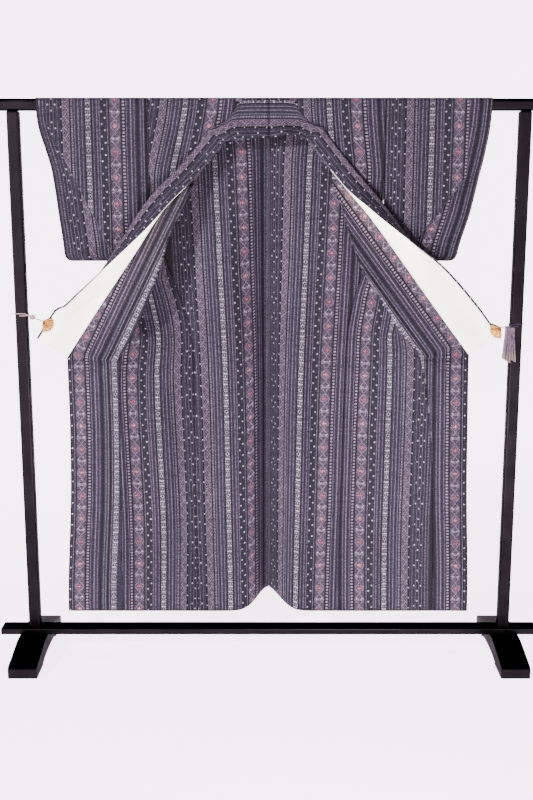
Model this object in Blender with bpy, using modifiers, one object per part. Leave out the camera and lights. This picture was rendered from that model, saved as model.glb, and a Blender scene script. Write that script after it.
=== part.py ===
"""A tsumugi kimono hung open over a lacquered kimono stand.

Metres, +Z up, the front faces -Y, origin on the floor under the middle of the stand.
Left means the left side as seen from the front, at -X. "Out" is the distance from the middle.
"""
from math import acos, cos, exp, pi, radians, sin, sqrt

import bmesh
import bpy
from mathutils import Matrix, Vector

# Faces across and down each panel
FRONT_ACROSS = (2, 3, 2, 2, 2, 2)
CHEST_DOWN = 6
FLAP_DOWN = 14
SKIRT_DOWN = 7
BACK_DOWN = 16
OKUMI_ACROSS = 5
SLEEVE_ACROSS = 8
SLEEVE_DOWN = 11

SIDE_NAMES = {-1: "left", 1: "right"}

# Stand
RAIL_TOP = 1.750
RAIL_TALL = 0.036
RAIL_DEEP = 0.034
RAIL_ROUND = 0.010
RAIL_Y = -0.010
RAIL_LONG = 1.740
POST_X = 0.762
POST_WIDE = 0.036
POST_ROUND = 0.005
POST_LEAN = 0.020
FOOT_LONG = 0.434
FOOT_WIDE = 0.090
FOOT_TALL = 0.062
FOOT_END_TALL = 0.036
FOOT_FLAT = 0.140
FOOT_ARCH = 0.016
FOOT_ARCH_HALF = 0.115
FOOT_CHAMFER = 0.006
LOW_RAIL_DEEP = 0.062
LOW_RAIL_TALL = 0.020
GAP = 0.0003

# Cloth
WALL = 0.0016
COLLAR_LAP = WALL + 0.0014
LINING_LAP = 0.0026
SEAM = 0.0005
CENTRE_SEAM = 0.0014
SHOULDER_Z = RAIL_TOP + 0.0009 + WALL / 2
SLEEVE_SEAM = {-1: 0.360, 1: 0.346}
SLEEVE_BOTTOM = 1.270
SLEEVE_CORNER = 0.022
PANEL_WIDE = 0.245
COLLAR_HALF = 0.055
COLLAR_ROUND = 0.006
COLLAR_INSET = 0.003
NECK_INSET = 0.0038
NECK_Z = 1.715
OKUMI_LAP = 0.0026
FOLD_FRONT_Y = -0.0405
FOLD_REAR_Y = -0.0338
FOLD_ROUND = 0.006
KNEE_Y = -0.0310
SKIRT_WAVE = 0.008
OKUMI_WAVE = 0.006
BACK_WAVE = 0.010
SLEEVE_DEEP = 0.007
SLEEVE_PINCH = 0.0016
SLEEVE_ROUND = 0.012
AHEAD = Vector((0.0, -1.0, 0.0))

# From the okumi's point to the hem: z, okumi seam out and y, side seam out and y
FRONT_ROWS = {
    -1: (
        (1.520, 0.220, -0.0378, 0.356, -0.0250),
        (1.450, 0.245, -0.0560, 0.350, 0.0000),
        (1.370, 0.289, -0.0700, 0.345, 0.0180),
        (1.250, 0.329, -0.0780, 0.315, 0.0280),
        (1.130, 0.378, -0.0760, 0.268, 0.0400),
        (1.045, 0.417, -0.0680, 0.246, 0.0440),
        (0.968, 0.456, -0.0540, 0.238, 0.0460),
        (0.586, 0.464, -0.0400, 0.236, 0.0480),
        (0.142, 0.468, -0.0380, 0.232, 0.0460),
    ),
    1: (
        (1.530, 0.180, -0.0340, 0.342, -0.0260),
        (1.450, 0.212, -0.0580, 0.336, 0.0000),
        (1.370, 0.235, -0.0700, 0.330, 0.0180),
        (1.250, 0.278, -0.0780, 0.300, 0.0280),
        (1.150, 0.345, -0.0760, 0.266, 0.0380),
        (1.050, 0.405, -0.0680, 0.248, 0.0440),
        (0.985, 0.462, -0.0540, 0.243, 0.0460),
        (0.586, 0.512, -0.0400, 0.232, 0.0480),
        (0.150, 0.524, -0.0380, 0.220, 0.0460),
    ),
}

# Back panel: z, y at the centre seam, y at the middle of the panel
BACK_ROWS = (
    (1.740, 0.0084, 0.0084),
    (1.640, 0.0130, 0.0110),
    (1.500, 0.0300, 0.0150),
    (1.350, 0.0560, 0.0250),
    (1.150, 0.0780, 0.0380),
    (0.900, 0.0920, 0.0480),
    (0.500, 0.1020, 0.0540),
    (0.180, 0.1080, 0.0560),
)
HEM_Z = 0.136
HEM_FALL = 0.40
HEM_NOTCH = 0.077
HEM_NOTCH_WIDE = 0.055

# Outer edge of each sleeve as z and out, and the ends of its long diagonal fold
SLEEVE_ROWS = {
    -1: ((1.770, 0.693), (1.687, 0.688), (1.542, 0.653), (1.424, 0.638), (1.260, 0.622)),
    1: ((1.770, 0.662), (1.687, 0.658), (1.518, 0.630), (1.424, 0.610), (1.260, 0.570)),
}
SLEEVE_FOLD = {-1: ((0.655, 1.660), (0.480, 1.300)), 1: ((0.560, 1.480), (0.430, 1.310))}

# Collar from the centre back to the tip: out, y and z of the sewn edge, rise in degrees, opening
COLLAR_ROWS = {
    -1: (
        (0.000, -0.0304, 1.7435, -90.0, 1),
        (0.050, -0.0304, 1.7435, -90.0, 1),
        (0.084, -0.0304, 1.7400, -72.0, 0.93),
        (0.103, -0.0304, 1.7150, -18.0, 0.25),
        (0.118, -0.0304, 1.6700, 26.0, 0.011),
        (0.137, -0.0304, 1.6200, 41.0, 0.001),
        (0.178, -0.0312, 1.5700, 42.0, 0.0005),
        (0.224, -0.0430, 1.5160, 42.0, 0.0005),
        (0.314, -0.0540, 1.4260, 39.0, 0.001),
        (0.400, -0.0580, 1.3000, 34.5, 0.287),
        (0.468, -0.0580, 1.2010, 34.3, 0.512),
        (0.550, -0.0510, 1.0810, 34.3, 0.787),
        (0.6205, -0.0430, 0.9757, 34.3, 1),
    ),
    1: (
        (0.000, -0.0304, 1.7435, -90.0, 1),
        (0.046, -0.0304, 1.7435, -90.0, 1),
        (0.072, -0.0304, 1.7400, -72.0, 0.93),
        (0.086, -0.0304, 1.7150, -18.0, 0.25),
        (0.098, -0.0304, 1.6750, 26.0, 0.011),
        (0.118, -0.0304, 1.6280, 41.0, 0.001),
        (0.160, -0.0312, 1.5720, 42.0, 0.0005),
        (0.220, -0.0450, 1.4980, 41.0, 0.002),
        (0.300, -0.0540, 1.4050, 39.0, 0.2),
        (0.390, -0.0580, 1.2850, 37.0, 0.54),
        (0.460, -0.0580, 1.1890, 36.0, 0.82),
        (0.545, -0.0510, 1.0750, 35.5, 0.975),
        (0.6140, -0.0430, 0.9840, 35.3, 1),
    ),
}
# Crease round the neck: row of the table above, out, z, turn in from straight down, tip ahead
NECK_ROWS = {
    -1: (
        (0, 0.000, 1.6885, 0, 5),
        (1, 0.050, 1.6880, 2, 16),
        (2, 0.100, 1.6840, 14, 10),
        (3, 0.136, 1.6750, 28, 4),
        (4, 0.162, 1.6660, 42, 1),
        (5, 0.178, 1.6560, 49, 0),
    ),
    1: (
        (0, 0.000, 1.6885, 0, 5),
        (1, 0.046, 1.6900, -4, 32),
        (2, 0.088, 1.6880, 12, 24),
        (3, 0.120, 1.6800, 28, 8),
        (4, 0.143, 1.6720, 42, 2),
        (5, 0.1595, 1.6640, 49, 0),
    ),
}
LINING_FROM = {-1: 18, 1: 16}
COLLAR_SECTIONS = 30
COLLAR_COLUMNS_ACROSS = 9
OKUMI_TOP = {-1: 1.500, 1: 1.515}
CREASE_Z = {-1: 0.966, 1: 0.976}

# Front edge below the collar
FRONT_EDGE = {
    -1: ((0.9757, 0.6205), (0.780, 0.620), (0.586, 0.623), (0.136, 0.644)),
    1: ((0.9840, 0.6140), (0.780, 0.618), (0.586, 0.622), (0.150, 0.637)),
}
EDGE_Y = -0.036

COLOURS = {
    "cloth": ((0.23, 0.21, 0.25, 1.0), 0.85, 0.0),
    "lining": ((0.86, 0.82, 0.76, 1.0), 0.7, 0.0),
    "lacquer": ((0.012, 0.012, 0.014, 1.0), 0.15, 0.0),
    "gilt": ((0.62, 0.48, 0.28, 1.0), 0.35, 0.8),
    "pink_cord": ((0.80, 0.55, 0.58, 1.0), 0.6, 0.0),
    "purple_cord": ((0.22, 0.12, 0.24, 1.0), 0.6, 0.0),
}


def start():
    for thing in list(bpy.data.objects):
        bpy.data.objects.remove(thing, do_unlink=True)
    collection = bpy.data.collections.new("tsumugi_kimono")
    bpy.context.scene.collection.children.link(collection)
    return collection


COLLECTION = start()


def finish_object(name, mesh, look):
    """Put a mesh in the collection as an object with its own material."""
    thing = bpy.data.objects.new(name, mesh)
    COLLECTION.objects.link(thing)
    material = bpy.data.materials.new(name)
    material.use_nodes = True
    shader = material.node_tree.nodes["Principled BSDF"]
    colour, roughness, metallic = COLOURS[look]
    shader.inputs["Base Color"].default_value = colour
    shader.inputs["Roughness"].default_value = roughness
    shader.inputs["Metallic"].default_value = metallic
    mesh.materials.clear()
    mesh.materials.append(material)
    return thing


# Curves through sections
def between(rows, key):
    """Row of a table at a key in its first column, on a smooth curve through its rows."""
    rows = sorted(rows)
    key = min(max(key, rows[0][0]), rows[-1][0])
    last = len(rows) - 2
    index = next((i for i in range(last) if rows[i + 1][0] >= key), last)
    low, high = rows[index], rows[index + 1]
    span = high[0] - low[0]
    t = (key - low[0]) / span
    values = []
    for column in range(1, len(low)):
        slope_low = slope(rows, index, column) * span
        slope_high = slope(rows, index + 1, column) * span
        a = low[column]
        b = high[column]
        values.append(
            a * (2 * t**3 - 3 * t**2 + 1)
            + slope_low * (t**3 - 2 * t**2 + t)
            + b * (3 * t**2 - 2 * t**3)
            + slope_high * (t**3 - t**2)
        )
    return values


def slope(rows, index, column):
    """Slope at a row, flat where the column turns."""
    if index in (0, len(rows) - 1):
        return 0.0
    before = (rows[index][column] - rows[index - 1][column]) / (rows[index][0] - rows[index - 1][0])
    after = (rows[index + 1][column] - rows[index][column]) / (rows[index + 1][0] - rows[index][0])
    if before * after <= 0:
        return 0.0
    return 2 * before * after / (before + after)


def even_points(keys, count):
    return points_at(keys, [step / count for step in range(count + 1)])


def points_at(keys, shares):
    """Points at shares of the length of a smooth line through key points."""
    ends = [2 * keys[0] - keys[1]] + keys + [2 * keys[-1] - keys[-2]]
    line = []
    fine = 12
    for i in range(1, len(ends) - 2):
        p0, p1, p2, p3 = ends[i - 1], ends[i], ends[i + 1], ends[i + 2]
        for step in range(fine):
            t = step / fine
            line.append(
                0.5 * (2 * p1 + (p2 - p0) * t + (2 * p0 - 5 * p1 + 4 * p2 - p3) * t * t
                       + (3 * p1 - p0 - 3 * p2 + p3) * t**3)
            )
    line.append(keys[-1])
    reach = [0.0]
    for a, b in zip(line, line[1:]):
        reach.append(reach[-1] + (b - a).length)
    points = []
    spot = 0
    for share in shares:
        goal = reach[-1] * share
        while spot < len(line) - 2 and reach[spot + 1] < goal:
            spot += 1
        span = reach[spot + 1] - reach[spot]
        t = (goal - reach[spot]) / span if span else 0.0
        points.append(line[spot].lerp(line[spot + 1], t))
    return points


def points_on_keys(keys, counts):
    """Points on a smooth line through key points, with a count for each stretch."""
    ends = [2 * keys[0] - keys[1]] + keys + [2 * keys[-1] - keys[-2]]
    points = []
    for i, count in enumerate(counts):
        p0, p1, p2, p3 = ends[i : i + 4]
        for step in range(count):
            t = step / count
            points.append(
                0.5 * (2 * p1 + (p2 - p0) * t + (2 * p0 - 5 * p1 + 4 * p2 - p3) * t * t
                       + (3 * p1 - p0 - 3 * p2 + p3) * t**3)
            )
    return points + [keys[-1]]


def cloth(name, rows, look="cloth", closed=False, thick=WALL, leave_out=None):
    """A cloth wall through rows of points, all with the same number of points."""
    tall = len(rows) - 1
    wide = len(rows[0]) - 1
    bm = bmesh.new()
    bmesh.ops.create_grid(bm, x_segments=wide, y_segments=tall, size=1.0)
    bm.verts.ensure_lookup_table()
    bm.verts.index_update()
    for vert in bm.verts:
        column = round((vert.co.x + 1.0) / 2.0 * wide)
        row = round((vert.co.y + 1.0) / 2.0 * tall)
        vert.co = rows[row][column]
    if leave_out:
        first_columns, last_row = leave_out
        gone = []
        for face in bm.faces:
            index = [vert.index for vert in face.verts]
            row = min(index) // (wide + 1)
            column = min(number % (wide + 1) for number in index)
            if row < last_row and column >= first_columns:
                gone.append(face)
        bmesh.ops.delete(bm, geom=gone, context="FACES")
    if closed:
        bmesh.ops.remove_doubles(bm, verts=bm.verts, dist=0.00001)
    mesh = bpy.data.meshes.new(name)
    bm.to_mesh(mesh)
    bm.free()
    mesh.shade_smooth()
    thing = finish_object(name, mesh, look)
    wall = thing.modifiers.new("wall", "SOLIDIFY")
    wall.thickness = thick
    wall.offset = 0.0
    wall.use_even_offset = False
    return thing


def over_rail(reach):
    """Depth from the rail's middle and height of cloth that reaches over the rail."""
    turn = RAIL_ROUND + SHOULDER_Z - RAIL_TOP
    flat = RAIL_DEEP / 2 - RAIL_ROUND
    arc = turn * pi / 2
    if reach <= flat:
        return reach, SHOULDER_Z
    if reach <= flat + arc:
        angle = (reach - flat) / turn
        return flat + turn * sin(angle), SHOULDER_Z - turn + turn * cos(angle)
    return flat + turn, SHOULDER_Z - turn - (reach - flat - arc)


RAIL_FLAT = RAIL_DEEP / 2 - RAIL_ROUND
RAIL_WRAP = RAIL_DEEP / 2 - RAIL_ROUND + (RAIL_ROUND + SHOULDER_Z - RAIL_TOP) * pi / 2
FRONT_Y = RAIL_Y - over_rail(RAIL_WRAP)[0]
BACK_Y = RAIL_Y + over_rail(RAIL_WRAP)[0]
BEND_Z = over_rail(RAIL_WRAP)[1]
WRAP_STEPS = [0.0] + [RAIL_FLAT + (RAIL_WRAP - RAIL_FLAT) * i / 4 for i in range(5)]


def smooth(t):
    t = min(max(t, 0.0), 1.0)
    return t * t * (3 - 2 * t)


def mix(a, b, share):
    return a + (b - a) * share


def steps(first, last, count):
    return [mix(first, last, i / count) for i in range(count + 1)]


def offset_rows(rows, distance):
    """Rows moved along the normals of the surface they make."""
    moved = []
    for j, row in enumerate(rows):
        new_row = []
        for i, point in enumerate(row):
            along = row[min(i + 1, len(row) - 1)] - row[max(i - 1, 0)]
            down = rows[min(j + 1, len(rows) - 1)][i] - rows[max(j - 1, 0)][i]
            new_row.append(point + along.cross(down).normalized() * distance)
        moved.append(new_row)
    return moved


# Collar
def collar_seam(side, part):
    """Sewn edge, the way up from it and the opening angle, counted in rows of the table."""
    rows = [(float(i),) + row for i, row in enumerate(COLLAR_ROWS[side])]
    out, y, z, rise, share = between(rows, part)
    last = len(rows) - 1
    opening = mix(acos(1 - 2 * share), pi, smooth((part - last + 1.15) / 0.45))
    across = Vector((side * cos(radians(rise)), 0.0, sin(radians(rise))))
    return Vector((side * out, y, z)), across, opening


def neck_fold(side, part, seam):
    """Crease and way to the free edge round the neck, where the collar turns from flat to folded."""
    out, z, turn, tip = between(NECK_ROWS[side], part)
    shut = smooth((part - 1) / 2.5)
    crease = Vector((side * out, seam.y - 0.004 * shut, z))
    down = Vector((-side * sin(radians(turn)), 0.0, -cos(radians(turn))))
    free_way = down * cos(radians(tip)) + AHEAD * sin(radians(tip))
    return crease, free_way, shut


def collar_section(side, part):
    """Points across the collar from the sewn edge over the crease to the free edge."""
    seam, across, opening = collar_seam(side, part)
    if part < NECK_ROWS[side][-1][0]:
        crease, free_way, shut = neck_fold(side, part, seam)
        across = (crease - seam).normalized()
    else:
        shut = cos(opening / 2)
        crease = seam + across * COLLAR_HALF + AHEAD * 0.004 * shut
        free_way = -across * cos(opening) + AHEAD * (0.8 * sin(opening) + 0.02)
        free_way.normalize()
    bend = crease + AHEAD * 0.007 * shut
    free = bend + free_way * COLLAR_HALF
    keys = [
        seam,
        seam.lerp(crease, 0.5),
        crease - across * COLLAR_ROUND,
        crease.lerp(bend, 0.5) + across * 0.0015 * shut,
        bend + free_way * COLLAR_ROUND,
        bend.lerp(free, 0.5),
        free,
    ]
    return even_points(keys, COLLAR_COLUMNS_ACROSS)


def collar_rows(side, first=0):
    """Sections down the collar, from a numbered section to the tip."""
    parts = steps(0.0, len(COLLAR_ROWS[side]) - 1, COLLAR_SECTIONS)
    return [collar_section(side, part) for part in parts[first:]]


def add_collar(side):
    rows = collar_rows(side)
    for point in rows[0]:
        point.x = side * CENTRE_SEAM / 2
    cloth("collar_" + SIDE_NAMES[side], rows)
    lining = offset_rows(collar_rows(side, LINING_FROM[side]), -side * LINING_LAP)
    inner = [row[:-1] + [row[-1].lerp(row[-2], 0.3)] for row in lining]
    cloth("collar_lining_" + SIDE_NAMES[side], inner, "lining", thick=0.0010)


def collar_out(side, z):
    """Where the collar's sewn edge is at a height, with its depth."""
    rows = [(row[2], row[0], row[1]) for row in COLLAR_ROWS[side][2:]]
    return between(rows, z)


# Body panels
def side_seam(side, z):
    """Side seam of the front panel, which runs on up along the sleeve seam."""
    side_out, side_y = between(FRONT_ROWS[side], z)[2:]
    share = smooth((z - 1.50) / 0.05)
    return mix(side_out, SLEEVE_SEAM[side] - SEAM, share), mix(side_y, FRONT_Y, share)


def front_edge(side, z):
    """Edge of the front panel on the okumi, and above its point on the collar."""
    seam_out, seam_y = between(FRONT_ROWS[side], z)[:2]
    neck_out, neck_y = collar_out(side, z)
    share = smooth((z - OKUMI_TOP[side]) / 0.03)
    return mix(seam_out, neck_out - COLLAR_INSET, share), mix(seam_y, neck_y + COLLAR_LAP, share)


def front_section(side, z):
    """Points across a front panel: hung flat on the chest, then folded back behind the okumi."""
    a = Vector((*front_edge(side, z), 0.0))
    b = Vector((*side_seam(side, z), 0.0))
    count = 6
    flat = [a.lerp(b, i / count) for i in range(count + 1)]
    low = smooth((1.0 - z) / 0.3)
    for i, point in enumerate(flat):
        point.y += SKIRT_WAVE * low * sin(2 * pi * i / count)
    turn = max((a.x + b.x + PANEL_WIDE - 0.03) / 2, a.x + 0.012)
    knee = min(turn - 0.03, SLEEVE_SEAM[side] - 0.016)
    knee_y = mix(KNEE_Y, (FOLD_REAR_Y + b.y) / 2, smooth((1.27 - z) / 0.06))
    folded = [
        a,
        Vector((mix(a.x, turn, 0.40), mix(a.y, FOLD_FRONT_Y, 0.75), 0.0)),
        Vector((turn - FOLD_ROUND, FOLD_FRONT_Y, 0.0)),
        Vector((turn, (FOLD_FRONT_Y + FOLD_REAR_Y) / 2, 0.0)),
        Vector((turn - FOLD_ROUND, FOLD_REAR_Y, 0.0)),
        Vector((knee, knee_y, 0.0)),
        b,
    ]
    share = smooth((1.47 - z) / 0.12) * smooth((z - 0.985) / 0.16)
    keys = [p.lerp(q, share) for p, q in zip(flat, folded)]
    return points_on_keys(keys, FRONT_ACROSS)


def levels_down(side):
    """Heights of the rows that the front and the okumi share."""
    hem = FRONT_ROWS[side][-1][0]
    return steps(OKUMI_TOP[side], CREASE_Z[side], FLAP_DOWN) + steps(CREASE_Z[side], hem, SKIRT_DOWN)[1:]


def add_front(side):
    rows = []
    for reach in WRAP_STEPS:
        deep, z = over_rail(max(reach, 0.0004))
        neck = collar_out(side, NECK_Z)[0] - COLLAR_INSET
        ends = (neck, SLEEVE_SEAM[side] - SEAM)
        outs = steps(*ends, sum(FRONT_ACROSS))
        rows.append([Vector((side * out, RAIL_Y - deep, z)) for out in outs])
    for z in steps(BEND_Z, OKUMI_TOP[side], CHEST_DOWN)[1:-1] + levels_down(side):
        points = [Vector((side * p.x, p.y, z)) for p in front_section(side, z)]
        rows.append([p + hem_shift(side, p) for p in points])
    cloth("front_" + SIDE_NAMES[side], rows)


def hem_shift(side, point):
    """How far a point moves up or down, so that the hem rises to the front and at the back seam."""
    last = FRONT_ROWS[side][-1][0]
    share = min(max((CREASE_Z[side] - point.z) / (CREASE_Z[side] - last), 0.0), 1.0)
    return Vector((0.0, 0.0, (HEM_Z - HEM_FALL * point.y - last) * share))


def okumi_section(side, z, count):
    """Points across the okumi from the front panel to the collar or the free front edge."""
    near_out, near_y = front_edge(side, z)
    tip = COLLAR_ROWS[side][-1]
    if z > tip[2]:
        far_out, far_y = collar_out(side, z)
        far_out += COLLAR_INSET
        far_y += COLLAR_LAP
    else:
        far_out = between(FRONT_EDGE[side], z)[0]
        far_y = mix(tip[1] + COLLAR_LAP, EDGE_Y, smooth((tip[2] - z) / 0.2))
    folded = smooth((z - 0.86) / 0.1)
    near = Vector((near_out + 0.0006 + SEAM, near_y - OKUMI_LAP * folded, 0.0))
    far = Vector((far_out, far_y, 0.0))
    wave = OKUMI_WAVE * smooth((0.9 - z) / 0.4)
    points = [near.lerp(far, i / count) for i in range(count + 1)]
    for i, point in enumerate(points):
        point.y -= wave * sin(pi * i / count) ** 2
    return points


def add_okumi(side):
    rows = []
    for z in levels_down(side):
        points = [Vector((side * p.x, p.y, z)) for p in okumi_section(side, z, OKUMI_ACROSS)]
        rows.append([p + hem_shift(side, p) for p in points])
    cloth("okumi_" + SIDE_NAMES[side], rows)


def back_shares(side):
    """Shares of a back panel's width, with a column at the end of the neckline."""
    neck = (collar_out(side, NECK_Z)[0] - NECK_INSET) / SLEEVE_SEAM[side]
    inner = [0.0, 0.04, 0.13]
    return inner + [neck] + steps(neck, 1.0, 7)[1:]


def back_section(side, z):
    """Points across a back panel from the centre seam to the side seam."""
    centre_y, middle_y = between(BACK_ROWS, z)
    side_out, side_y = between(FRONT_ROWS[side], z)[2:]
    share = smooth((z - 1.37) / 0.13)
    edge_out = mix(side_out, SLEEVE_SEAM[side] - SEAM, share)
    edge_y = mix(side_y + OKUMI_LAP, BACK_Y + 0.0002, share)
    wave = BACK_WAVE * smooth((1.3 - z) / 0.6)
    keys = [
        Vector((CENTRE_SEAM / 2, centre_y, 0.0)),
        Vector((0.010, centre_y, 0.0)),
        Vector((0.20 * edge_out, mix(centre_y, middle_y, 0.45) - wave, 0.0)),
        Vector((0.45 * edge_out, middle_y, 0.0)),
        Vector((0.72 * edge_out, mix(middle_y, edge_y, 0.5) + wave, 0.0)),
        Vector((edge_out, edge_y, 0.0)),
    ]
    return points_at(keys, back_shares(side))


def add_back(side):
    rows = []
    neck_column = 3
    for reach in [-r for r in reversed(WRAP_STEPS)] + WRAP_STEPS[1:]:
        row = []
        for i, share in enumerate(back_shares(side)):
            out = mix(CENTRE_SEAM / 2, SLEEVE_SEAM[side] - SEAM, share)
            spot = max(reach, 0.0008) if i > neck_column else reach
            deep, z = over_rail(abs(spot))
            way = 1 if spot > 0 else -1
            row.append(Vector((side * out, RAIL_Y + way * deep, z)))
        rows.append(row)
    for k in range(1, BACK_DOWN + 1):
        share = (k / BACK_DOWN) ** 1.1
        level = mix(BEND_Z, FRONT_ROWS[side][-1][0], share)
        row = []
        for point in back_section(side, level):
            spot = Vector((side * point.x, point.y, level))
            notch = HEM_NOTCH * share * exp(-((point.x / HEM_NOTCH_WIDE) ** 2))
            row.append(spot + hem_shift(side, spot) + Vector((0.0, 0.0, notch)))
        rows.append(row)
    cloth("back_" + SIDE_NAMES[side], rows, leave_out=(neck_column, len(WRAP_STEPS) - 1))


# Sleeves
def fold_depth(side, out, z):
    """How far the sleeve's front layer is pressed in along its diagonal fold."""
    (x0, z0), (x1, z1) = SLEEVE_FOLD[side]
    way = Vector((x1 - x0, z1 - z0))
    spot = Vector((out - x0, z - z0))
    along = spot.dot(way) / way.length
    across = (spot.x * way.y - spot.y * way.x) / way.length
    ends = smooth(along / 0.08) * smooth((way.length + 0.02 - along) / 0.06)
    return 0.009 * ends * exp(-((across / 0.018) ** 2))


def sleeve_point(side, share, reach_share, front):
    """A point on one layer of the sleeve, from the rail's top down to the bottom fold."""
    long = RAIL_WRAP + BEND_Z - SLEEVE_BOTTOM
    deep, z = over_rail(reach_share * long)
    edge = between(SLEEVE_ROWS[side], z)[0]
    low = SLEEVE_CORNER - (z - SLEEVE_BOTTOM)
    if low > 0:
        edge -= SLEEVE_CORNER - sqrt(max(SLEEVE_CORNER**2 - low**2, 0.0))
    out = mix(SLEEVE_SEAM[side] + SEAM, edge, share)
    drop = smooth((BEND_Z - z) / 0.45)
    deep = mix(deep, SLEEVE_DEEP, drop)
    pinch = smooth((1.57 - z) / 0.06) * smooth((share - 0.75) / 0.25)
    deep = mix(deep, SLEEVE_PINCH, pinch)
    deep *= sqrt(min(max((z - SLEEVE_BOTTOM) / SLEEVE_ROUND, 0.0), 1.0))
    if front:
        deep -= min(fold_depth(side, out, z), max(deep - SLEEVE_PINCH, 0.0))
    return Vector((side * out, RAIL_Y + (-deep if front else deep), z))


def add_sleeve(side):
    wide = SLEEVE_ACROSS
    long = RAIL_WRAP + BEND_Z - SLEEVE_BOTTOM
    spots = [reach / long for reach in WRAP_STEPS]
    spots += steps(RAIL_WRAP / long, 1.0 - 0.022 / long, SLEEVE_DOWN)[1:]
    spots += [1.0 - SLEEVE_ROUND / long, 1.0 - 0.004 / long, 1.0]
    down = [(spot, True) for spot in reversed(spots)]
    up = [(spot, False) for spot in spots[1:]]
    rows = []
    for spot, front in down + up:
        rows.append([sleeve_point(side, i / wide, spot, front) for i in range(wide + 1)])
    cloth("sleeve_" + SIDE_NAMES[side], rows, closed=True)


# Stand
def rounded_bar(name, size, centre, edge, lean=0.0):
    bm = bmesh.new()
    bmesh.ops.create_cube(bm, size=1.0)
    bmesh.ops.scale(bm, vec=size, verts=bm.verts)
    mesh = bpy.data.meshes.new(name)
    bm.to_mesh(mesh)
    bm.free()
    mesh.shade_smooth()
    mesh.set_sharp_from_angle(angle=radians(40))
    thing = finish_object(name, mesh, "lacquer")
    thing.location = centre
    thing.rotation_euler = (lean, 0.0, 0.0)
    bevel = thing.modifiers.new("edges", "BEVEL")
    bevel.width = edge
    bevel.segments = 3
    return thing


def cut(thing, cutter):
    """Cut a hidden shape out of an object."""
    cutter.hide_render = True
    cutter.display_type = "WIRE"
    boolean = thing.modifiers.new("cut", "BOOLEAN")
    boolean.operation = "DIFFERENCE"
    boolean.object = cutter


def tube(name, route, radius, look):
    """A cord through route points."""
    curve = bpy.data.curves.new(name, "CURVE")
    curve.dimensions = "3D"
    curve.bevel_depth = radius
    curve.bevel_resolution = 2
    curve.use_fill_caps = True
    line = curve.splines.new("POLY")
    line.points.add(len(route) - 1)
    for point, spot in zip(line.points, route):
        point.co = (*spot, 1.0)
    return finish_object(name, curve, look)


def add_foot(side):
    """A foot with a flat middle, sloping ends and an arch between its two pads."""
    half = FOOT_LONG / 2
    flat = FOOT_FLAT / 2
    edge = half - FOOT_CHAMFER
    low = FOOT_END_TALL - FOOT_CHAMFER
    outline = [(-half, 0.0), (-half, low), (-edge, FOOT_END_TALL)]
    outline += [(-flat, FOOT_TALL), (flat, FOOT_TALL)]
    outline += [(edge, FOOT_END_TALL), (half, low), (half, 0.0)]
    outline += [(FOOT_ARCH_HALF * cos(a), FOOT_ARCH * sin(a)) for a in steps(0.0, pi, 10)]
    curve = bpy.data.curves.new("foot", "CURVE")
    curve.dimensions = "2D"
    curve.fill_mode = "BOTH"
    curve.extrude = FOOT_WIDE / 2
    line = curve.splines.new("POLY")
    line.points.add(len(outline) - 1)
    for point, (y, z) in zip(line.points, outline):
        point.co = (y, z, 0.0, 1.0)
    line.use_cyclic_u = True
    foot = finish_object("foot_" + SIDE_NAMES[side], curve, "lacquer")
    foot.location = (side * POST_X, 0.0, 0.0)
    foot.rotation_euler = (pi / 2, 0.0, pi / 2)
    return foot


def add_stand():
    rail_z = RAIL_TOP - RAIL_TALL / 2
    rounded_bar("top_rail", (RAIL_LONG, RAIL_DEEP, RAIL_TALL), (0, RAIL_Y, rail_z), RAIL_ROUND)
    low_z = FOOT_TALL + GAP + LOW_RAIL_TALL / 2
    low = rounded_bar(
        "bottom_rail", (RAIL_LONG, LOW_RAIL_DEEP, LOW_RAIL_TALL), (0, POST_LEAN / 2, low_z), 0.003
    )
    for side in (-1, 1):
        add_foot(side)
        foot_top = FOOT_TALL + GAP
        post_top = RAIL_TOP - RAIL_TALL - GAP
        tall = post_top - foot_top
        lean = POST_LEAN / RAIL_TOP
        post = rounded_bar(
            "post_" + SIDE_NAMES[side],
            (POST_WIDE, POST_WIDE, tall),
            (side * POST_X, POST_LEAN / 2 - lean * (foot_top + tall / 2), foot_top + tall / 2),
            POST_ROUND,
        )
        for vert in post.data.vertices:
            vert.co.y -= lean * vert.co.z
        hole = POST_WIDE + 2 * GAP
        slot = rounded_bar(
            "slot_" + SIDE_NAMES[side],
            (hole, hole + 0.0006, 0.1),
            (side * POST_X, POST_LEAN / 2 - lean * low_z, low_z),
            0.0048,
        )
        cut(low, slot)


# Collar clips with their cords
CLIP_ROW = {-1: 11.44, 1: 11.70}
CLIP_WIDE = 0.038
CLIP_DEEP = 0.026
CLIP_SLOT = 0.0122
CLIP_HINGE = 0.0115
CLIP_ON = {-1: 0.0080, 1: 0.0020}
CLIP_FROM_CORD = 0.0012
CLIP_REACH = 0.040
CORD_R = 0.0016
LOOP_RISE = 0.0032
CORD_Z = {-1: 1.106, 1: 1.074}
CORD_FREE = 0.0006
KNOT_SIZE = (0.020, 0.011, 0.016)
KNOT_UP = 0.003
STRANDS = 5
TASSEL_WIDE = 0.025
TASSEL_HEAD = 0.016
TASSEL_LONG = 0.092
TASSEL_AHEAD = 0.0190


def post_y(z):
    return POST_LEAN / 2 - POST_LEAN / RAIL_TOP * z


def clip_place(side):
    """Place of the clip on the collar's free edge, the way into the cloth and the way ahead."""
    row = collar_section(side, CLIP_ROW[side])
    free = row[-1]
    inward = (row[-3] - free).normalized()
    above = collar_section(side, CLIP_ROW[side] - 0.15)[-1]
    below = collar_section(side, CLIP_ROW[side] + 0.15)[-1]
    along = below - above
    ahead = inward.cross(along).normalized()
    if ahead.y > 0:
        ahead = -ahead
    return free, inward, ahead


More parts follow.
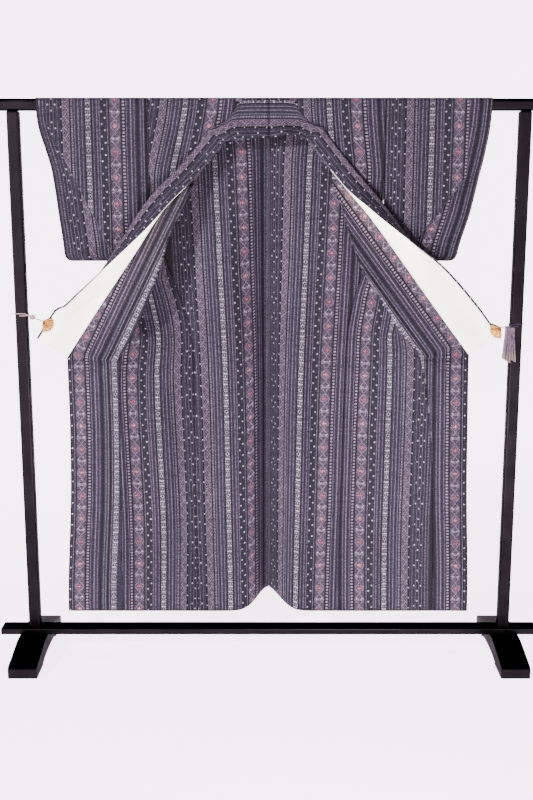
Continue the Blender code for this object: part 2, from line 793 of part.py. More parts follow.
def add_clip(side):
    """A scallop shell with a slot that takes the collar's free edge."""
    free, inward, ahead = clip_place(side)
    name = "clip_" + SIDE_NAMES[side]
    bm = bmesh.new()
    bmesh.ops.create_uvsphere(bm, u_segments=20, v_segments=10, radius=0.5)
    for vert in bm.verts:
        fan = vert.co.copy()
        rib = 1.0 + 0.07 * cos(8 * 2 * pi * (fan.x + 0.5) / 2) * max(fan.y + 0.2, 0.0)
        taper = 0.62 + 0.5 * (fan.y + 0.5)
        vert.co = Vector((fan.x * taper * CLIP_WIDE, fan.y * rib * CLIP_WIDE, fan.z * CLIP_DEEP))
    mesh = bpy.data.meshes.new(name)
    bm.to_mesh(mesh)
    bm.free()
    mesh.shade_smooth()
    clip = finish_object(name, mesh, "gilt")
    centre = free + inward * CLIP_ON[side]
    turned = Matrix((inward.cross(ahead), inward, ahead)).transposed().to_4x4()
    clip.matrix_world = Matrix.Translation(centre) @ turned
    bm = bmesh.new()
    bmesh.ops.create_cube(bm, size=1.0)
    bmesh.ops.scale(bm, vec=(2 * CLIP_REACH, CLIP_REACH, CLIP_SLOT), verts=bm.verts)
    bmesh.ops.translate(bm, vec=(0, CLIP_REACH / 2 - CLIP_HINGE, 0), verts=bm.verts)
    slot_mesh = bpy.data.meshes.new(name + "_slot")
    bm.to_mesh(slot_mesh)
    bm.free()
    slot = finish_object(name + "_slot", slot_mesh, "gilt")
    slot.matrix_world = clip.matrix_world
    cut(clip, slot)
    return centre - inward * (CLIP_WIDE / 2 + CLIP_FROM_CORD)


def add_cord(side, start_point):
    """A cord from the clip once round the post."""
    z = CORD_Z[side]
    x = side * POST_X
    y = post_y(z)
    turn = POST_ROUND + CORD_R + CORD_FREE
    flat = POST_WIDE / 2 - POST_ROUND
    loop = []
    for corner in range(4):
        for degrees in (0, 45, 90):
            angle = radians(-90 + corner * 90 + degrees)
            mid = radians(-45 + corner * 90)
            spot_x = flat * (1 if cos(mid) > 0 else -1) + turn * cos(angle)
            spot_y = flat * (1 if sin(mid) > 0 else -1) + turn * sin(angle)
            drop = 2 * LOOP_RISE * len(loop) / 11
            loop.append(Vector((x + side * spot_x, y + spot_y, z + LOOP_RISE - drop)))
    first = Vector((x - side * flat, loop[0].y, z + LOOP_RISE))
    last = Vector((x + side * flat * 0.3, loop[0].y, z - LOOP_RISE))
    lead = Vector(start_point)
    bend = lead.lerp(first, 0.5) + Vector((0.0, -0.004, -0.002))
    run = even_points([lead, bend, first], 10)
    route = run + loop + [last]
    tube("cord_" + SIDE_NAMES[side], route, CORD_R, "pink_cord" if side < 0 else "purple_cord")
    return run


def add_knot(name, centre, size, look):
    bm = bmesh.new()
    bmesh.ops.create_uvsphere(bm, u_segments=10, v_segments=6, radius=0.5)
    bmesh.ops.scale(bm, vec=size, verts=bm.verts)
    mesh = bpy.data.meshes.new(name)
    bm.to_mesh(mesh)
    bm.free()
    mesh.shade_smooth()
    knot = finish_object(name, mesh, look)
    knot.location = centre
    return knot


def add_tassel(name, top):
    """A tassel: a square head whose lower face is drawn down into strands."""
    bm = bmesh.new()
    bmesh.ops.create_grid(bm, x_segments=STRANDS, y_segments=STRANDS, size=TASSEL_WIDE / 2)
    grown = bmesh.ops.extrude_face_region(bm, geom=list(bm.faces))
    raised = [v for v in grown["geom"] if isinstance(v, bmesh.types.BMVert)]
    bmesh.ops.translate(bm, vec=(0, 0, TASSEL_HEAD), verts=raised)
    bmesh.ops.recalc_face_normals(bm, faces=bm.faces)
    under = [f for f in bm.faces if f.normal.z < -0.9]
    bmesh.ops.inset_individual(bm, faces=under, thickness=0.0002)
    drawn = bmesh.ops.extrude_discrete_faces(bm, faces=under)
    for i, face in enumerate(drawn["faces"]):
        middle = face.calc_center_median()
        drop = TASSEL_LONG * (0.88 + 0.12 * ((i * 7) % 5) / 4)
        spread = Vector((middle.x * 0.70, middle.y * 0.10, -drop))
        bmesh.ops.translate(bm, vec=spread, verts=face.verts)
    mesh = bpy.data.meshes.new(name)
    bm.to_mesh(mesh)
    bm.free()
    tassel = finish_object(name, mesh, "purple_cord")
    tassel.location = top - Vector((0, 0, TASSEL_HEAD))
    return tassel


def add_holders():
    for side in (-1, 1):
        run = add_cord(side, add_clip(side))
        if side < 0:
            ahead = CORD_R + GAP + KNOT_SIZE[1] / 2
            add_knot("knot_left", run[5] + Vector((0.0, -ahead, KNOT_UP)), KNOT_SIZE, "pink_cord")
        else:
            half = TASSEL_WIDE / 2
            spot = Vector((run[-1].x - half, post_y(run[-1].z) - POST_WIDE / 2 - TASSEL_AHEAD, 0.0))
            over = [point.z for point in run if abs(point.x - spot.x) < half + CORD_R]
            spot.z = min(over) - CORD_R - 2 * GAP
            add_tassel("tassel_right", spot)


def main():
    add_stand()
    for side in (-1, 1):
        add_back(side)
        add_front(side)
        add_okumi(side)
        add_sleeve(side)
        add_collar(side)
    add_holders()


main()
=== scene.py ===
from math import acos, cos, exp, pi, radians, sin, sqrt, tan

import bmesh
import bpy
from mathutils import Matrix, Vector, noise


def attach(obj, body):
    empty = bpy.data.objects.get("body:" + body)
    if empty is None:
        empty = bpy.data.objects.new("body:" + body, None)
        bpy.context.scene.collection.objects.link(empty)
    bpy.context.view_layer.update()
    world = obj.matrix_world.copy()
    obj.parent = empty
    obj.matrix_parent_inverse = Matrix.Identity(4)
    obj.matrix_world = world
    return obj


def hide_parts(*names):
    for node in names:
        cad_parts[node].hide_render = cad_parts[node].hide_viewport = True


bl_info = {
    "name": "Tsumugi kimono",
    "version": (1, 0, 0),
    "blender": (4, 5, 0),
    "location": "View3D > Sidebar > Kimono",
    "description": "Dresses the packed kimono and its stand with cloth, lacquer, cords and light",
    "category": "Object",
}

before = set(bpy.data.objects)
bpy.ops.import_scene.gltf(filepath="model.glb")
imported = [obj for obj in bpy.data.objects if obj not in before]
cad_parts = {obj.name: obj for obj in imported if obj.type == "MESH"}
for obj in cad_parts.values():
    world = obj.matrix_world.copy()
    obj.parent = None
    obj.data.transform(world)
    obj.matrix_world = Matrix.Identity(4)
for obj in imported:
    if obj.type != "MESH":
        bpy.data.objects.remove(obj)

SIDE_NAMES = {-1: "left", 1: "right"}

# Stand
RAIL_TOP = 1.750
RAIL_DEEP = 0.034
RAIL_ROUND = 0.010
RAIL_Y = -0.010

# Cloth
WALL = 0.0016
COLLAR_LAP = WALL + 0.0014
LINING_LAP = 0.0026
PANEL_LAP = 0.0026
COLLAR_TUCK = 0.003
SEAM = 0.0005
CENTRE_SEAM = 0.0014
SHOULDER_Z = RAIL_TOP + 0.0009 + WALL / 2
SLEEVE_SEAM = {-1: 0.360, 1: 0.346}
SLEEVE_BOTTOM = 1.270
SLEEVE_CORNER = 0.022
SLEEVE_SHUT = 0.0016
FOLD_STEP = 0.003
PANEL_WIDE = 0.245
COLLAR_HALF = 0.055
NECK_Z = 1.715
NECK_GROOVE = (0.009, 0.0035, 0.0008)
AHEAD = Vector((0.0, -1.0, 0.0))

# From the okumi's point to the hem: z, okumi seam out and y, side seam out and y
FRONT_ROWS = {
    -1: (
        (1.520, 0.220, -0.0378, 0.356, -0.0250),
        (1.450, 0.245, -0.0560, 0.350, 0.0000),
        (1.370, 0.289, -0.0700, 0.345, 0.0180),
        (1.250, 0.329, -0.0780, 0.315, 0.0280),
        (1.130, 0.378, -0.0760, 0.268, 0.0400),
        (1.045, 0.417, -0.0680, 0.246, 0.0440),
        (0.968, 0.456, -0.0540, 0.238, 0.0460),
        (0.586, 0.464, -0.0400, 0.236, 0.0480),
        (0.142, 0.468, -0.0380, 0.232, 0.0460),
    ),
    1: (
        (1.530, 0.180, -0.0340, 0.342, -0.0260),
        (1.450, 0.212, -0.0580, 0.336, 0.0000),
        (1.370, 0.235, -0.0700, 0.330, 0.0180),
        (1.250, 0.278, -0.0780, 0.300, 0.0280),
        (1.150, 0.345, -0.0760, 0.266, 0.0380),
        (1.050, 0.405, -0.0680, 0.248, 0.0440),
        (0.985, 0.462, -0.0540, 0.243, 0.0460),
        (0.586, 0.512, -0.0400, 0.232, 0.0480),
        (0.150, 0.524, -0.0380, 0.220, 0.0460),
    ),
}

# Back panel: z, y at the centre seam, y at the middle of the panel
BACK_ROWS = (
    (1.740, 0.0084, 0.0084),
    (1.640, 0.0130, 0.0110),
    (1.500, 0.0300, 0.0150),
    (1.350, 0.0560, 0.0250),
    (1.150, 0.0780, 0.0380),
    (0.900, 0.0920, 0.0480),
    (0.500, 0.1020, 0.0540),
    (0.180, 0.1080, 0.0560),
)
HEM_Z = 0.136
HEM_FALL = 0.40
HEM_NOTCH = 0.077
HEM_NOTCH_WIDE = 0.055

# Outer edge of each sleeve as z and out, and the ends of its long diagonal fold
SLEEVE_ROWS = {
    -1: ((1.770, 0.693), (1.687, 0.688), (1.542, 0.653), (1.424, 0.638), (1.260, 0.622)),
    1: ((1.770, 0.662), (1.687, 0.658), (1.518, 0.630), (1.424, 0.610), (1.260, 0.570)),
}
SLEEVE_FOLD = {-1: ((0.655, 1.660), (0.480, 1.300)), 1: ((0.560, 1.480), (0.430, 1.310))}

# Collar from the centre back to the tip: out, y and z of the sewn edge, rise in degrees, opening
COLLAR_ROWS = {
    -1: (
        (0.000, -0.0304, 1.7435, -90.0, 1),
        (0.050, -0.0304, 1.7435, -90.0, 1),
        (0.084, -0.0304, 1.7400, -72.0, 0.93),
        (0.103, -0.0304, 1.7150, -18.0, 0.25),
        (0.118, -0.0304, 1.6700, 26.0, 0.011),
        (0.137, -0.0304, 1.6200, 41.0, 0.001),
        (0.178, -0.0312, 1.5700, 42.0, 0.0005),
        (0.224, -0.0430, 1.5160, 42.0, 0.0005),
        (0.314, -0.0540, 1.4260, 39.0, 0.001),
        (0.400, -0.0580, 1.3000, 34.5, 0.287),
        (0.468, -0.0580, 1.2010, 34.3, 0.512),
        (0.550, -0.0510, 1.0810, 34.3, 0.787),
        (0.6205, -0.0430, 0.9757, 34.3, 1),
    ),
    1: (
        (0.000, -0.0304, 1.7435, -90.0, 1),
        (0.046, -0.0304, 1.7435, -90.0, 1),
        (0.072, -0.0304, 1.7400, -72.0, 0.93),
        (0.086, -0.0304, 1.7150, -18.0, 0.25),
        (0.098, -0.0304, 1.6750, 26.0, 0.011),
        (0.118, -0.0304, 1.6280, 41.0, 0.001),
        (0.160, -0.0312, 1.5720, 42.0, 0.0005),
        (0.220, -0.0450, 1.4980, 41.0, 0.002),
        (0.300, -0.0540, 1.4050, 39.0, 0.2),
        (0.390, -0.0580, 1.2850, 37.0, 0.54),
        (0.460, -0.0580, 1.1890, 36.0, 0.82),
        (0.545, -0.0510, 1.0750, 35.5, 0.975),
        (0.6140, -0.0430, 0.9840, 35.3, 1),
    ),
}
# Crease round the neck: row of the table above, out, z, turn in from straight down, tip ahead
NECK_ROWS = {
    -1: (
        (0, 0.000, 1.6885, 0, 5),
        (1, 0.050, 1.6880, 2, 16),
        (2, 0.100, 1.6840, 14, 10),
        (3, 0.136, 1.6750, 28, 4),
        (4, 0.162, 1.6660, 42, 1),
        (5, 0.178, 1.6560, 49, 0),
    ),
    1: (
        (0, 0.000, 1.6885, 0, 5),
        (1, 0.046, 1.6900, -4, 32),
        (2, 0.088, 1.6880, 12, 24),
        (3, 0.120, 1.6800, 28, 8),
        (4, 0.143, 1.6720, 42, 2),
        (5, 0.1595, 1.6640, 49, 0),
    ),
}
RAIL_STEPS = 8
FRONT_ACROSS = (6, 7, 3, 3, 7, 6)
SLEEVE_COLUMNS = 34
SLEEVE_INNER = round(SLEEVE_COLUMNS * 0.6)
COLLAR_ACROSS = 21
CURVE_STEPS = 12
OKUMI_TOP = {-1: 1.500, 1: 1.515}
CREASE_Z = {-1: 0.966, 1: 0.976}

# Front edge below the collar
FRONT_EDGE = {
    -1: ((0.9757, 0.6205), (0.780, 0.620), (0.586, 0.623), (0.136, 0.644)),
    1: ((0.9840, 0.6140), (0.780, 0.618), (0.586, 0.622), (0.150, 0.637)),
}
EDGE_Y = -0.036


def between(rows, key):
    """Row of a table at a key in its first column, on a smooth curve through its rows."""
    rows = sorted(rows)
    key = min(max(key, rows[0][0]), rows[-1][0])
    last = len(rows) - 2
    index = next((i for i in range(last) if rows[i + 1][0] >= key), last)
    low, high = rows[index], rows[index + 1]
    span = high[0] - low[0]
    t = (key - low[0]) / span
    values = []
    for column in range(1, len(low)):
        slope_low = slope(rows, index, column) * span
        slope_high = slope(rows, index + 1, column) * span
        a = low[column]
        b = high[column]
        values.append(
            a * (2 * t**3 - 3 * t**2 + 1)
            + slope_low * (t**3 - 2 * t**2 + t)
            + b * (3 * t**2 - 2 * t**3)
            + slope_high * (t**3 - t**2)
        )
    return values


def slope(rows, index, column):
    """Slope at a row, flat where the column turns."""
    if index in (0, len(rows) - 1):
        return 0.0
    before = (rows[index][column] - rows[index - 1][column]) / (rows[index][0] - rows[index - 1][0])
    after = (rows[index + 1][column] - rows[index][column]) / (rows[index + 1][0] - rows[index][0])
    if before * after <= 0:
        return 0.0
    return 2 * before * after / (before + after)


def lengths(points):
    """Distance along a row of points, from its first."""
    reach = [0.0]
    for a, b in zip(points, points[1:]):
        reach.append(reach[-1] + (b - a).length)
    return reach


def points_on_keys(keys, counts):
    """Points on a smooth line through key points, with a count for each stretch."""
    ends = [2 * keys[0] - keys[1]] + keys + [2 * keys[-1] - keys[-2]]
    points = []
    for i, count in enumerate(counts):
        p0, p1, p2, p3 = ends[i : i + 4]
        for step in range(count):
            t = step / count
            points.append(
                0.5 * (2 * p1 + (p2 - p0) * t + (2 * p0 - 5 * p1 + 4 * p2 - p3) * t * t
                       + (3 * p1 - p0 - 3 * p2 + p3) * t**3)
            )
    return points + [keys[-1]]


def points_at(keys, shares):
    """Points at shares of the length of a smooth line through key points."""
    line = points_on_keys(keys, [CURVE_STEPS] * (len(keys) - 1))
    reach = lengths(line)
    points = []
    spot = 0
    for share in shares:
        goal = reach[-1] * share
        while spot < len(line) - 2 and reach[spot + 1] < goal:
            spot += 1
        span = reach[spot + 1] - reach[spot]
        t = (goal - reach[spot]) / span if span else 0.0
        points.append(line[spot].lerp(line[spot + 1], t))
    return points


def over_rail(reach):
    """Depth from the rail's middle and height of cloth that reaches over the rail."""
    turn = RAIL_ROUND + SHOULDER_Z - RAIL_TOP
    flat = RAIL_DEEP / 2 - RAIL_ROUND
    arc = turn * pi / 2
    if reach <= flat:
        return reach, SHOULDER_Z
    if reach <= flat + arc:
        angle = (reach - flat) / turn
        return flat + turn * sin(angle), SHOULDER_Z - turn + turn * cos(angle)
    return flat + turn, SHOULDER_Z - turn - (reach - flat - arc)


RAIL_WRAP = RAIL_DEEP / 2 - RAIL_ROUND + (RAIL_ROUND + SHOULDER_Z - RAIL_TOP) * pi / 2
FRONT_Y = RAIL_Y - over_rail(RAIL_WRAP)[0]
BACK_Y = RAIL_Y + over_rail(RAIL_WRAP)[0]
BEND_Z = over_rail(RAIL_WRAP)[1]


def smooth(t):
    t = min(max(t, 0.0), 1.0)
    return t * t * (3 - 2 * t)


def mix(a, b, share):
    return a + (b - a) * share


def steps(first, last, count):
    return [mix(first, last, i / count) for i in range(count + 1)]


def offset_rows(rows, distance):
    """Rows moved along the normals of the surface they make."""
    moved = []
    for j, row in enumerate(rows):
        new_row = []
        for i, point in enumerate(row):
            along = row[min(i + 1, len(row) - 1)] - row[max(i - 1, 0)]
            down = rows[min(j + 1, len(rows) - 1)][i] - rows[max(j - 1, 0)][i]
            new_row.append(point + along.cross(down).normalized() * distance)
        moved.append(new_row)
    return moved


def collar_seam(side, part):
    """Sewn edge, the way up from it and the opening angle, counted in rows of the table."""
    rows = [(float(i),) + row for i, row in enumerate(COLLAR_ROWS[side])]
    out, y, z, rise, share = between(rows, part)
    last = len(rows) - 1
    opening = mix(acos(1 - 2 * share), pi, smooth((part - last + 1.15) / 0.45))
    across = Vector((side * cos(radians(rise)), 0.0, sin(radians(rise))))
    return Vector((side * out, y, z)), across, opening


def neck_fold(side, part, seam):
    """Crease and way to the free edge round the neck, where the collar turns from flat to folded."""
    out, z, turn, tip = between(NECK_ROWS[side], part)
    shut = smooth((part - 1) / 2.5)
    crease = Vector((side * out, seam.y - 0.004 * shut, z))
    down = Vector((-side * sin(radians(turn)), 0.0, -cos(radians(turn))))
    free_way = down * cos(radians(tip)) + AHEAD * sin(radians(tip))
    return crease, free_way, shut


def collar_section(side, part):
    """Points across the collar from the sewn edge over the crease to the free edge."""
    seam, across, opening = collar_seam(side, part)
    if part < NECK_ROWS[side][-1][0]:
        crease, free_way, shut = neck_fold(side, part, seam)
        across = (crease - seam).normalized()
    else:
        shut = cos(opening / 2)
        crease = seam + across * COLLAR_HALF + AHEAD * 0.004 * shut
        free_way = -across * cos(opening) + AHEAD * (0.8 * sin(opening) + 0.02)
        free_way.normalize()
    bend = crease + AHEAD * 0.007 * shut
    free = bend + free_way * COLLAR_HALF
    keys = [
        seam,
        seam.lerp(crease, 0.5),
        crease - across * 0.006,
        crease.lerp(bend, 0.5) + across * 0.0015 * shut,
        bend + free_way * 0.006,
        bend.lerp(free, 0.5),
        free,
    ]
    return points_at(keys, [step / COLLAR_ACROSS for step in range(COLLAR_ACROSS + 1)])


def collar_out(side, z):
    """Where the collar's sewn edge is at a height, with its depth."""
    rows = [(row[2], row[0], row[1]) for row in COLLAR_ROWS[side][2:]]
    return between(rows, z)


# Body panels
def side_seam(side, z):
    """Side seam of the front panel, which runs on up along the sleeve seam."""
    side_out, side_y = between(FRONT_ROWS[side], z)[2:]
    share = smooth((z - 1.50) / 0.05)
    return mix(side_out, SLEEVE_SEAM[side] - SEAM, share), mix(side_y, FRONT_Y, share)


def front_edge(side, z):
    """Edge of the front panel on the okumi, and above its point on the collar."""
    seam_out, seam_y = between(FRONT_ROWS[side], z)[:2]
    neck_out, neck_y = collar_out(side, z)
    share = smooth((z - OKUMI_TOP[side]) / 0.03)
    return mix(seam_out, neck_out - COLLAR_TUCK, share), mix(seam_y, neck_y + COLLAR_LAP, share)


def front_section(side, z):
    """Points across a front panel: hung flat on the chest, then folded back behind the okumi."""
    a = Vector((*front_edge(side, z), 0.0))
    b = Vector((*side_seam(side, z), 0.0))
    count = 6
    flat = [a.lerp(b, i / count) for i in range(count + 1)]
    low = smooth((1.0 - z) / 0.3)
    for i, point in enumerate(flat):
        point.y += 0.008 * low * sin(2 * pi * i / count)
    turn = max((a.x + b.x + PANEL_WIDE - 0.03) / 2, a.x + 0.012)
    front_y = -0.0405
    rear_y = -0.0338
    knee = min(turn - 0.03, SLEEVE_SEAM[side] - 0.016)
    knee_y = mix(-0.0310, (rear_y + b.y) / 2, smooth((1.27 - z) / 0.06))
    folded = [
        a,
        Vector((mix(a.x, turn, 0.40), mix(a.y, front_y, 0.75), 0.0)),
        Vector((turn - 0.006, front_y, 0.0)),
        Vector((turn, (front_y + rear_y) / 2, 0.0)),
        Vector((turn - 0.006, rear_y, 0.0)),
        Vector((knee, knee_y, 0.0)),
        b,
    ]
    share = smooth((1.47 - z) / 0.12) * smooth((z - 0.985) / 0.16)
    keys = [p.lerp(q, share) for p, q in zip(flat, folded)]
    return points_on_keys(keys, FRONT_ACROSS)


def hem_shift(side, point):
    """How far a point moves up or down, so that the hem rises to the front; add_back lifts it at the
    back seam.
    """
    last = FRONT_ROWS[side][-1][0]
    share = min(max((CREASE_Z[side] - point.z) / (CREASE_Z[side] - last), 0.0), 1.0)
    return Vector((0.0, 0.0, (HEM_Z - HEM_FALL * point.y - last) * share))


def okumi_section(side, z, count):
    """Points across the okumi from the front panel to the collar or the free front edge."""
    near_out, near_y = front_edge(side, z)
    tip = COLLAR_ROWS[side][-1]
    if z > tip[2]:
        far_out, far_y = collar_out(side, z)
        far_out += COLLAR_TUCK
        far_y += COLLAR_LAP
    else:
        far_out = between(FRONT_EDGE[side], z)[0]
        far_y = mix(tip[1] + COLLAR_LAP, EDGE_Y, smooth((tip[2] - z) / 0.2))
    folded = smooth((z - 0.86) / 0.1)
    near = Vector((near_out + 0.0006 + SEAM, near_y - PANEL_LAP * folded, 0.0))
    far = Vector((far_out, far_y, 0.0))
    wave = 0.006 * smooth((0.9 - z) / 0.4)
    points = [near.lerp(far, i / count) for i in range(count + 1)]
    for i, point in enumerate(points):
        point.y -= wave * sin(pi * i / count) ** 2
    return points


def back_section(side, z, shares):
    """Points across a back panel from the centre seam to the side seam."""
    centre_y, middle_y = between(BACK_ROWS, z)
    side_out, side_y = between(FRONT_ROWS[side], z)[2:]
    share = smooth((z - 1.37) / 0.13)
    edge_out = mix(side_out, SLEEVE_SEAM[side] - SEAM, share)
    edge_y = mix(side_y + PANEL_LAP, BACK_Y + 0.0002, share)
    wave = 0.010 * smooth((1.3 - z) / 0.6)
    keys = [
        Vector((CENTRE_SEAM / 2, centre_y, 0.0)),
        Vector((0.010, centre_y, 0.0)),
        Vector((0.20 * edge_out, mix(centre_y, middle_y, 0.45) - wave, 0.0)),
        Vector((0.45 * edge_out, middle_y, 0.0)),
        Vector((0.72 * edge_out, mix(middle_y, edge_y, 0.5) + wave, 0.0)),
        Vector((edge_out, edge_y, 0.0)),
    ]
    return points_at(keys, shares)


def sleeve_outs(side, z):
    """Places across the sleeve, with two columns that follow its diagonal fold."""
    inner = SLEEVE_SEAM[side] + SEAM
    edge = between(SLEEVE_ROWS[side], z)[0]
    low = SLEEVE_CORNER - (z - SLEEVE_BOTTOM)
    if low > 0:
        edge -= SLEEVE_CORNER - sqrt(max(SLEEVE_CORNER**2 - low**2, 0.0))
    (x0, z0), (x1, z1) = SLEEVE_FOLD[side]
    share = min(max((z - z1) / (z0 - z1), -0.2), 1.25)
    fold = min(mix(x1, x0, share), edge - 0.012)
    outs = steps(inner, fold - FOLD_STEP / 2, SLEEVE_INNER)
    return outs + steps(fold + FOLD_STEP / 2, edge, SLEEVE_COLUMNS - SLEEVE_INNER - 1)


def sleeve_layer(side, reach, front):
    """Points across one layer of the sleeve, that far down from the rail's top."""
    flat_deep, z = over_rail(reach)
    row = []
    for i, out in enumerate(sleeve_outs(side, z)):
        edge = between(SLEEVE_ROWS[side], z)[0]
        share = (out - SLEEVE_SEAM[side]) / (edge - SLEEVE_SEAM[side])
        deep = mix(flat_deep, 0.007, smooth((BEND_Z - z) / 0.45))
        pinch = smooth((1.57 - z) / 0.06) * smooth((share - 0.75) / 0.25)
        deep = mix(deep, SLEEVE_SHUT, pinch)
        deep *= sqrt(min(max((z - SLEEVE_BOTTOM) / 0.012, 0.0), 1.0))
        if front and i > SLEEVE_INNER:
            z0, z1 = SLEEVE_FOLD[side][0][1], SLEEVE_FOLD[side][1][1]
            ends = smooth((z - z1 + 0.02) / 0.05) * smooth((z0 + 0.03 - z) / 0.09)
            deep -= min(0.008 * ends, max(deep - SLEEVE_SHUT, 0.0))
        row.append(Vector((side * out, RAIL_Y + (-deep if front else deep), z)))
    return row


# Where each piece lies on the bolt, in metres across it
BOLT_START = {
    -1: (
        (1.780, 0.030), (1.450, 0.083), (1.300, 0.060), (1.100, 0.040), (0.900, 0.020),
        (0.450, 0.030), (0.100, 0.022),
    ),
    1: ((1.780, 0.330), (1.450, 0.305), (1.200, 0.300), (1.100, 0.305), (0.500, 0.312), (0.100, 0.324)),
}
# Okumi: place on the bolt at its outer edge above and below the crease, slant in degrees
OKUMI_EDGE = {-1: (0.208, 0.197), 1: (0.220, 0.193)}
OKUMI_SLANT = {-1: 26.5, 1: 36.5}
MITRE_SOFT = 0.024
BACK_START = {-1: 0.330, 1: 0.015}
LINING_PART = {-1: 7.2, 1: 6.4}
OKUMI_COLUMNS = 16
BACK_INNER = 16
BACK_OUTER = 22
CENTRE_VALLEY = {-1: (0.042, 0.026), 1: (0.016, 0.020)}
COLLAR_STEPS = 110
SEAM_TURN = 0.003


def colour(red, green, blue):
    """A colour given as on a screen, 0 to 255, for a shader socket."""
    parts = []
    for part in (red, green, blue):
        share = part / 255
        parts.append(share / 12.92 if share < 0.04045 else ((share + 0.055) / 1.055) ** 2.4)
    return (*parts, 1.0)


def length_setting(name, default, description):
    return bpy.props.FloatProperty(
        name=name, description=description, default=default, min=0.0, unit="LENGTH"
    )


def number_setting(name, default, description):
    return bpy.props.FloatProperty(name=name, description=description, default=default)


def colour_setting(name, default, description):
    return bpy.props.FloatVectorProperty(
        name=name, description=description, default=colour(*default), size=4, min=0.0, max=1.0,
        subtype="COLOR"
    )


# Settings shown in the sidebar
class KimonoClothSettings(bpy.types.PropertyGroup):
    wall: length_setting("Cloth thickness", 0.0008, "Thickness of the silk")
    wrinkle: length_setting("Small wrinkles", 0.0012, "How far small wrinkles stand out")
    step: length_setting("Mesh step", 0.011, "Distance between the rows of points down the cloth")
    storage_fold: length_setting("Storage folds apart", 0.205, "Distance between storage folds")
    weave_bump: number_setting("Weave relief", 0.35, "How strongly the weave catches the light")
    sheen: number_setting("Sheen", 0.03, "Soft light along the edges of the silk")
    contrast: number_setting("Contrast of the dyes", 1.12, "Higher makes dark threads darker")
    dye_light: number_setting("Lightness of the dyes", 1.05, "Lightness of the whole pattern")
    # Painted light: strength of the lining's emission, a painted glow standing in for light through it
    lining_painted_glow: number_setting("Painted glow of the lining", 3.8, "Painted glow standing in for light through the thin lining")
    lining: colour_setting("Lining", (254, 251, 243), "Main colour of the lining")
    lining_shade: colour_setting("Lining, thicker weave", (236, 229, 208), "Where it is thicker")


class KimonoStandSettings(bpy.types.PropertyGroup):
    gloss: number_setting("Lacquer roughness", 0.24, "Lower makes the lacquer a clearer mirror")
    dust: number_setting("Dust on top faces", 0.10, "Share of dust on what faces up")
    lacquer: colour_setting("Lacquer", (22, 20, 21), "Colour of the lighter parts of the lacquer")
    lacquer_dark: colour_setting("Lacquer, darker", (14, 12, 13), "Colour of its darker parts")
    gilt: colour_setting("Gilt", (204, 156, 84), "Colour of the clips where they are rubbed bright")


class KimonoStageSettings(bpy.types.PropertyGroup):
    light: number_setting("Light strength", 1.0, "Share of the lamps' usual power")
    camera_pitch: bpy.props.FloatProperty(
        name="Camera tilt", description="How far the camera looks down", default=radians(11.4),
        subtype="ANGLE"
    )
    focal_pixels: number_setting("Focal length", 1163.0, "In pixels of a picture 800 pixels tall")
    camera_height: length_setting("Camera height", 1.555, "Height of the lens above the floor")
    camera_distance: length_setting("Camera distance", 3.57, "From the rail's middle to the lens")
    camera_side: bpy.props.FloatProperty(
        name="Camera shift", description="How far the camera stands to the right", default=-0.008,
        unit="LENGTH"
    )


# Meshes from rows of points
def finished_mesh(name, bm, material):
    """A smooth object in the scene from a bmesh, with its material."""
    mesh = bpy.data.meshes.new(name)
    bm.to_mesh(mesh)
    bm.free()
    mesh.shade_smooth()
    mesh.materials.append(material)
    thing = bpy.data.objects.new(name, mesh)
    bpy.context.scene.collection.objects.link(thing)
    return thing


def add_wall(piece, thick):
    """Gives a sheet its thickness, half to each side."""
    wall = piece.modifiers.new("wall", "SOLIDIFY")
    wall.thickness = thick
    wall.offset = 0.0
    return wall


def grid_piece(name, rows, charts, material, thick, closed=False, leave_out=None):
    """A thin cloth shell through rows of points, with its place on the bolt as its UV map."""
    tall = len(rows) - 1
    wide = len(rows[0]) - 1
    bm = bmesh.new()
    bmesh.ops.create_grid(bm, x_segments=wide, y_segments=tall, size=1.0)
    bm.verts.ensure_lookup_table()
    layer = bm.loops.layers.uv.new("bolt")
    spots = {}
    for vert in bm.verts:
        column = round((vert.co.x + 1.0) / 2.0 * wide)
        row = round((vert.co.y + 1.0) / 2.0 * tall)
        spots[vert] = (row, column)
        vert.co = rows[row][column]
    for face in bm.faces:
        for loop in face.loops:
            row, column = spots[loop.vert]
            loop[layer].uv = charts[row][column]
    if leave_out:
        first_column, last_row = leave_out
        gone = [
            face
            for face in bm.faces
            if min(spots[v][1] for v in face.verts) >= first_column
            and min(spots[v][0] for v in face.verts) < last_row
        ]
        bmesh.ops.delete(bm, geom=gone, context="FACES")
    if closed:
        bmesh.ops.remove_doubles(bm, verts=bm.verts, dist=0.00001)
    piece = finished_mesh(name, bm, material)
    add_wall(piece, thick).use_even_offset = False
    return piece


def turn_in(rows, first=True, last=True, depth=0.0035, close=0.0004):
    """Turns the sewn edges of a panel back by a few millimetres and closes the gap of the seam."""
    turned = []
    for row in rows:
        inner = list(row)
        if first:
            way = (row[1] - row[0]).normalized()
            inner[:1] = [row[0] + Vector((0, depth, 0)) - way * close, row[0] + way * SEAM_TURN]
        if last:
            way = (row[-2] - row[-1]).normalized()
            inner[-1:] = [row[-1] + way * SEAM_TURN, row[-1] + Vector((0, depth, 0)) - way * close]
        turned.append(inner)
    return turned


def seat(piece, node):
    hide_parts(node)
    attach(piece, "root")
    return piece


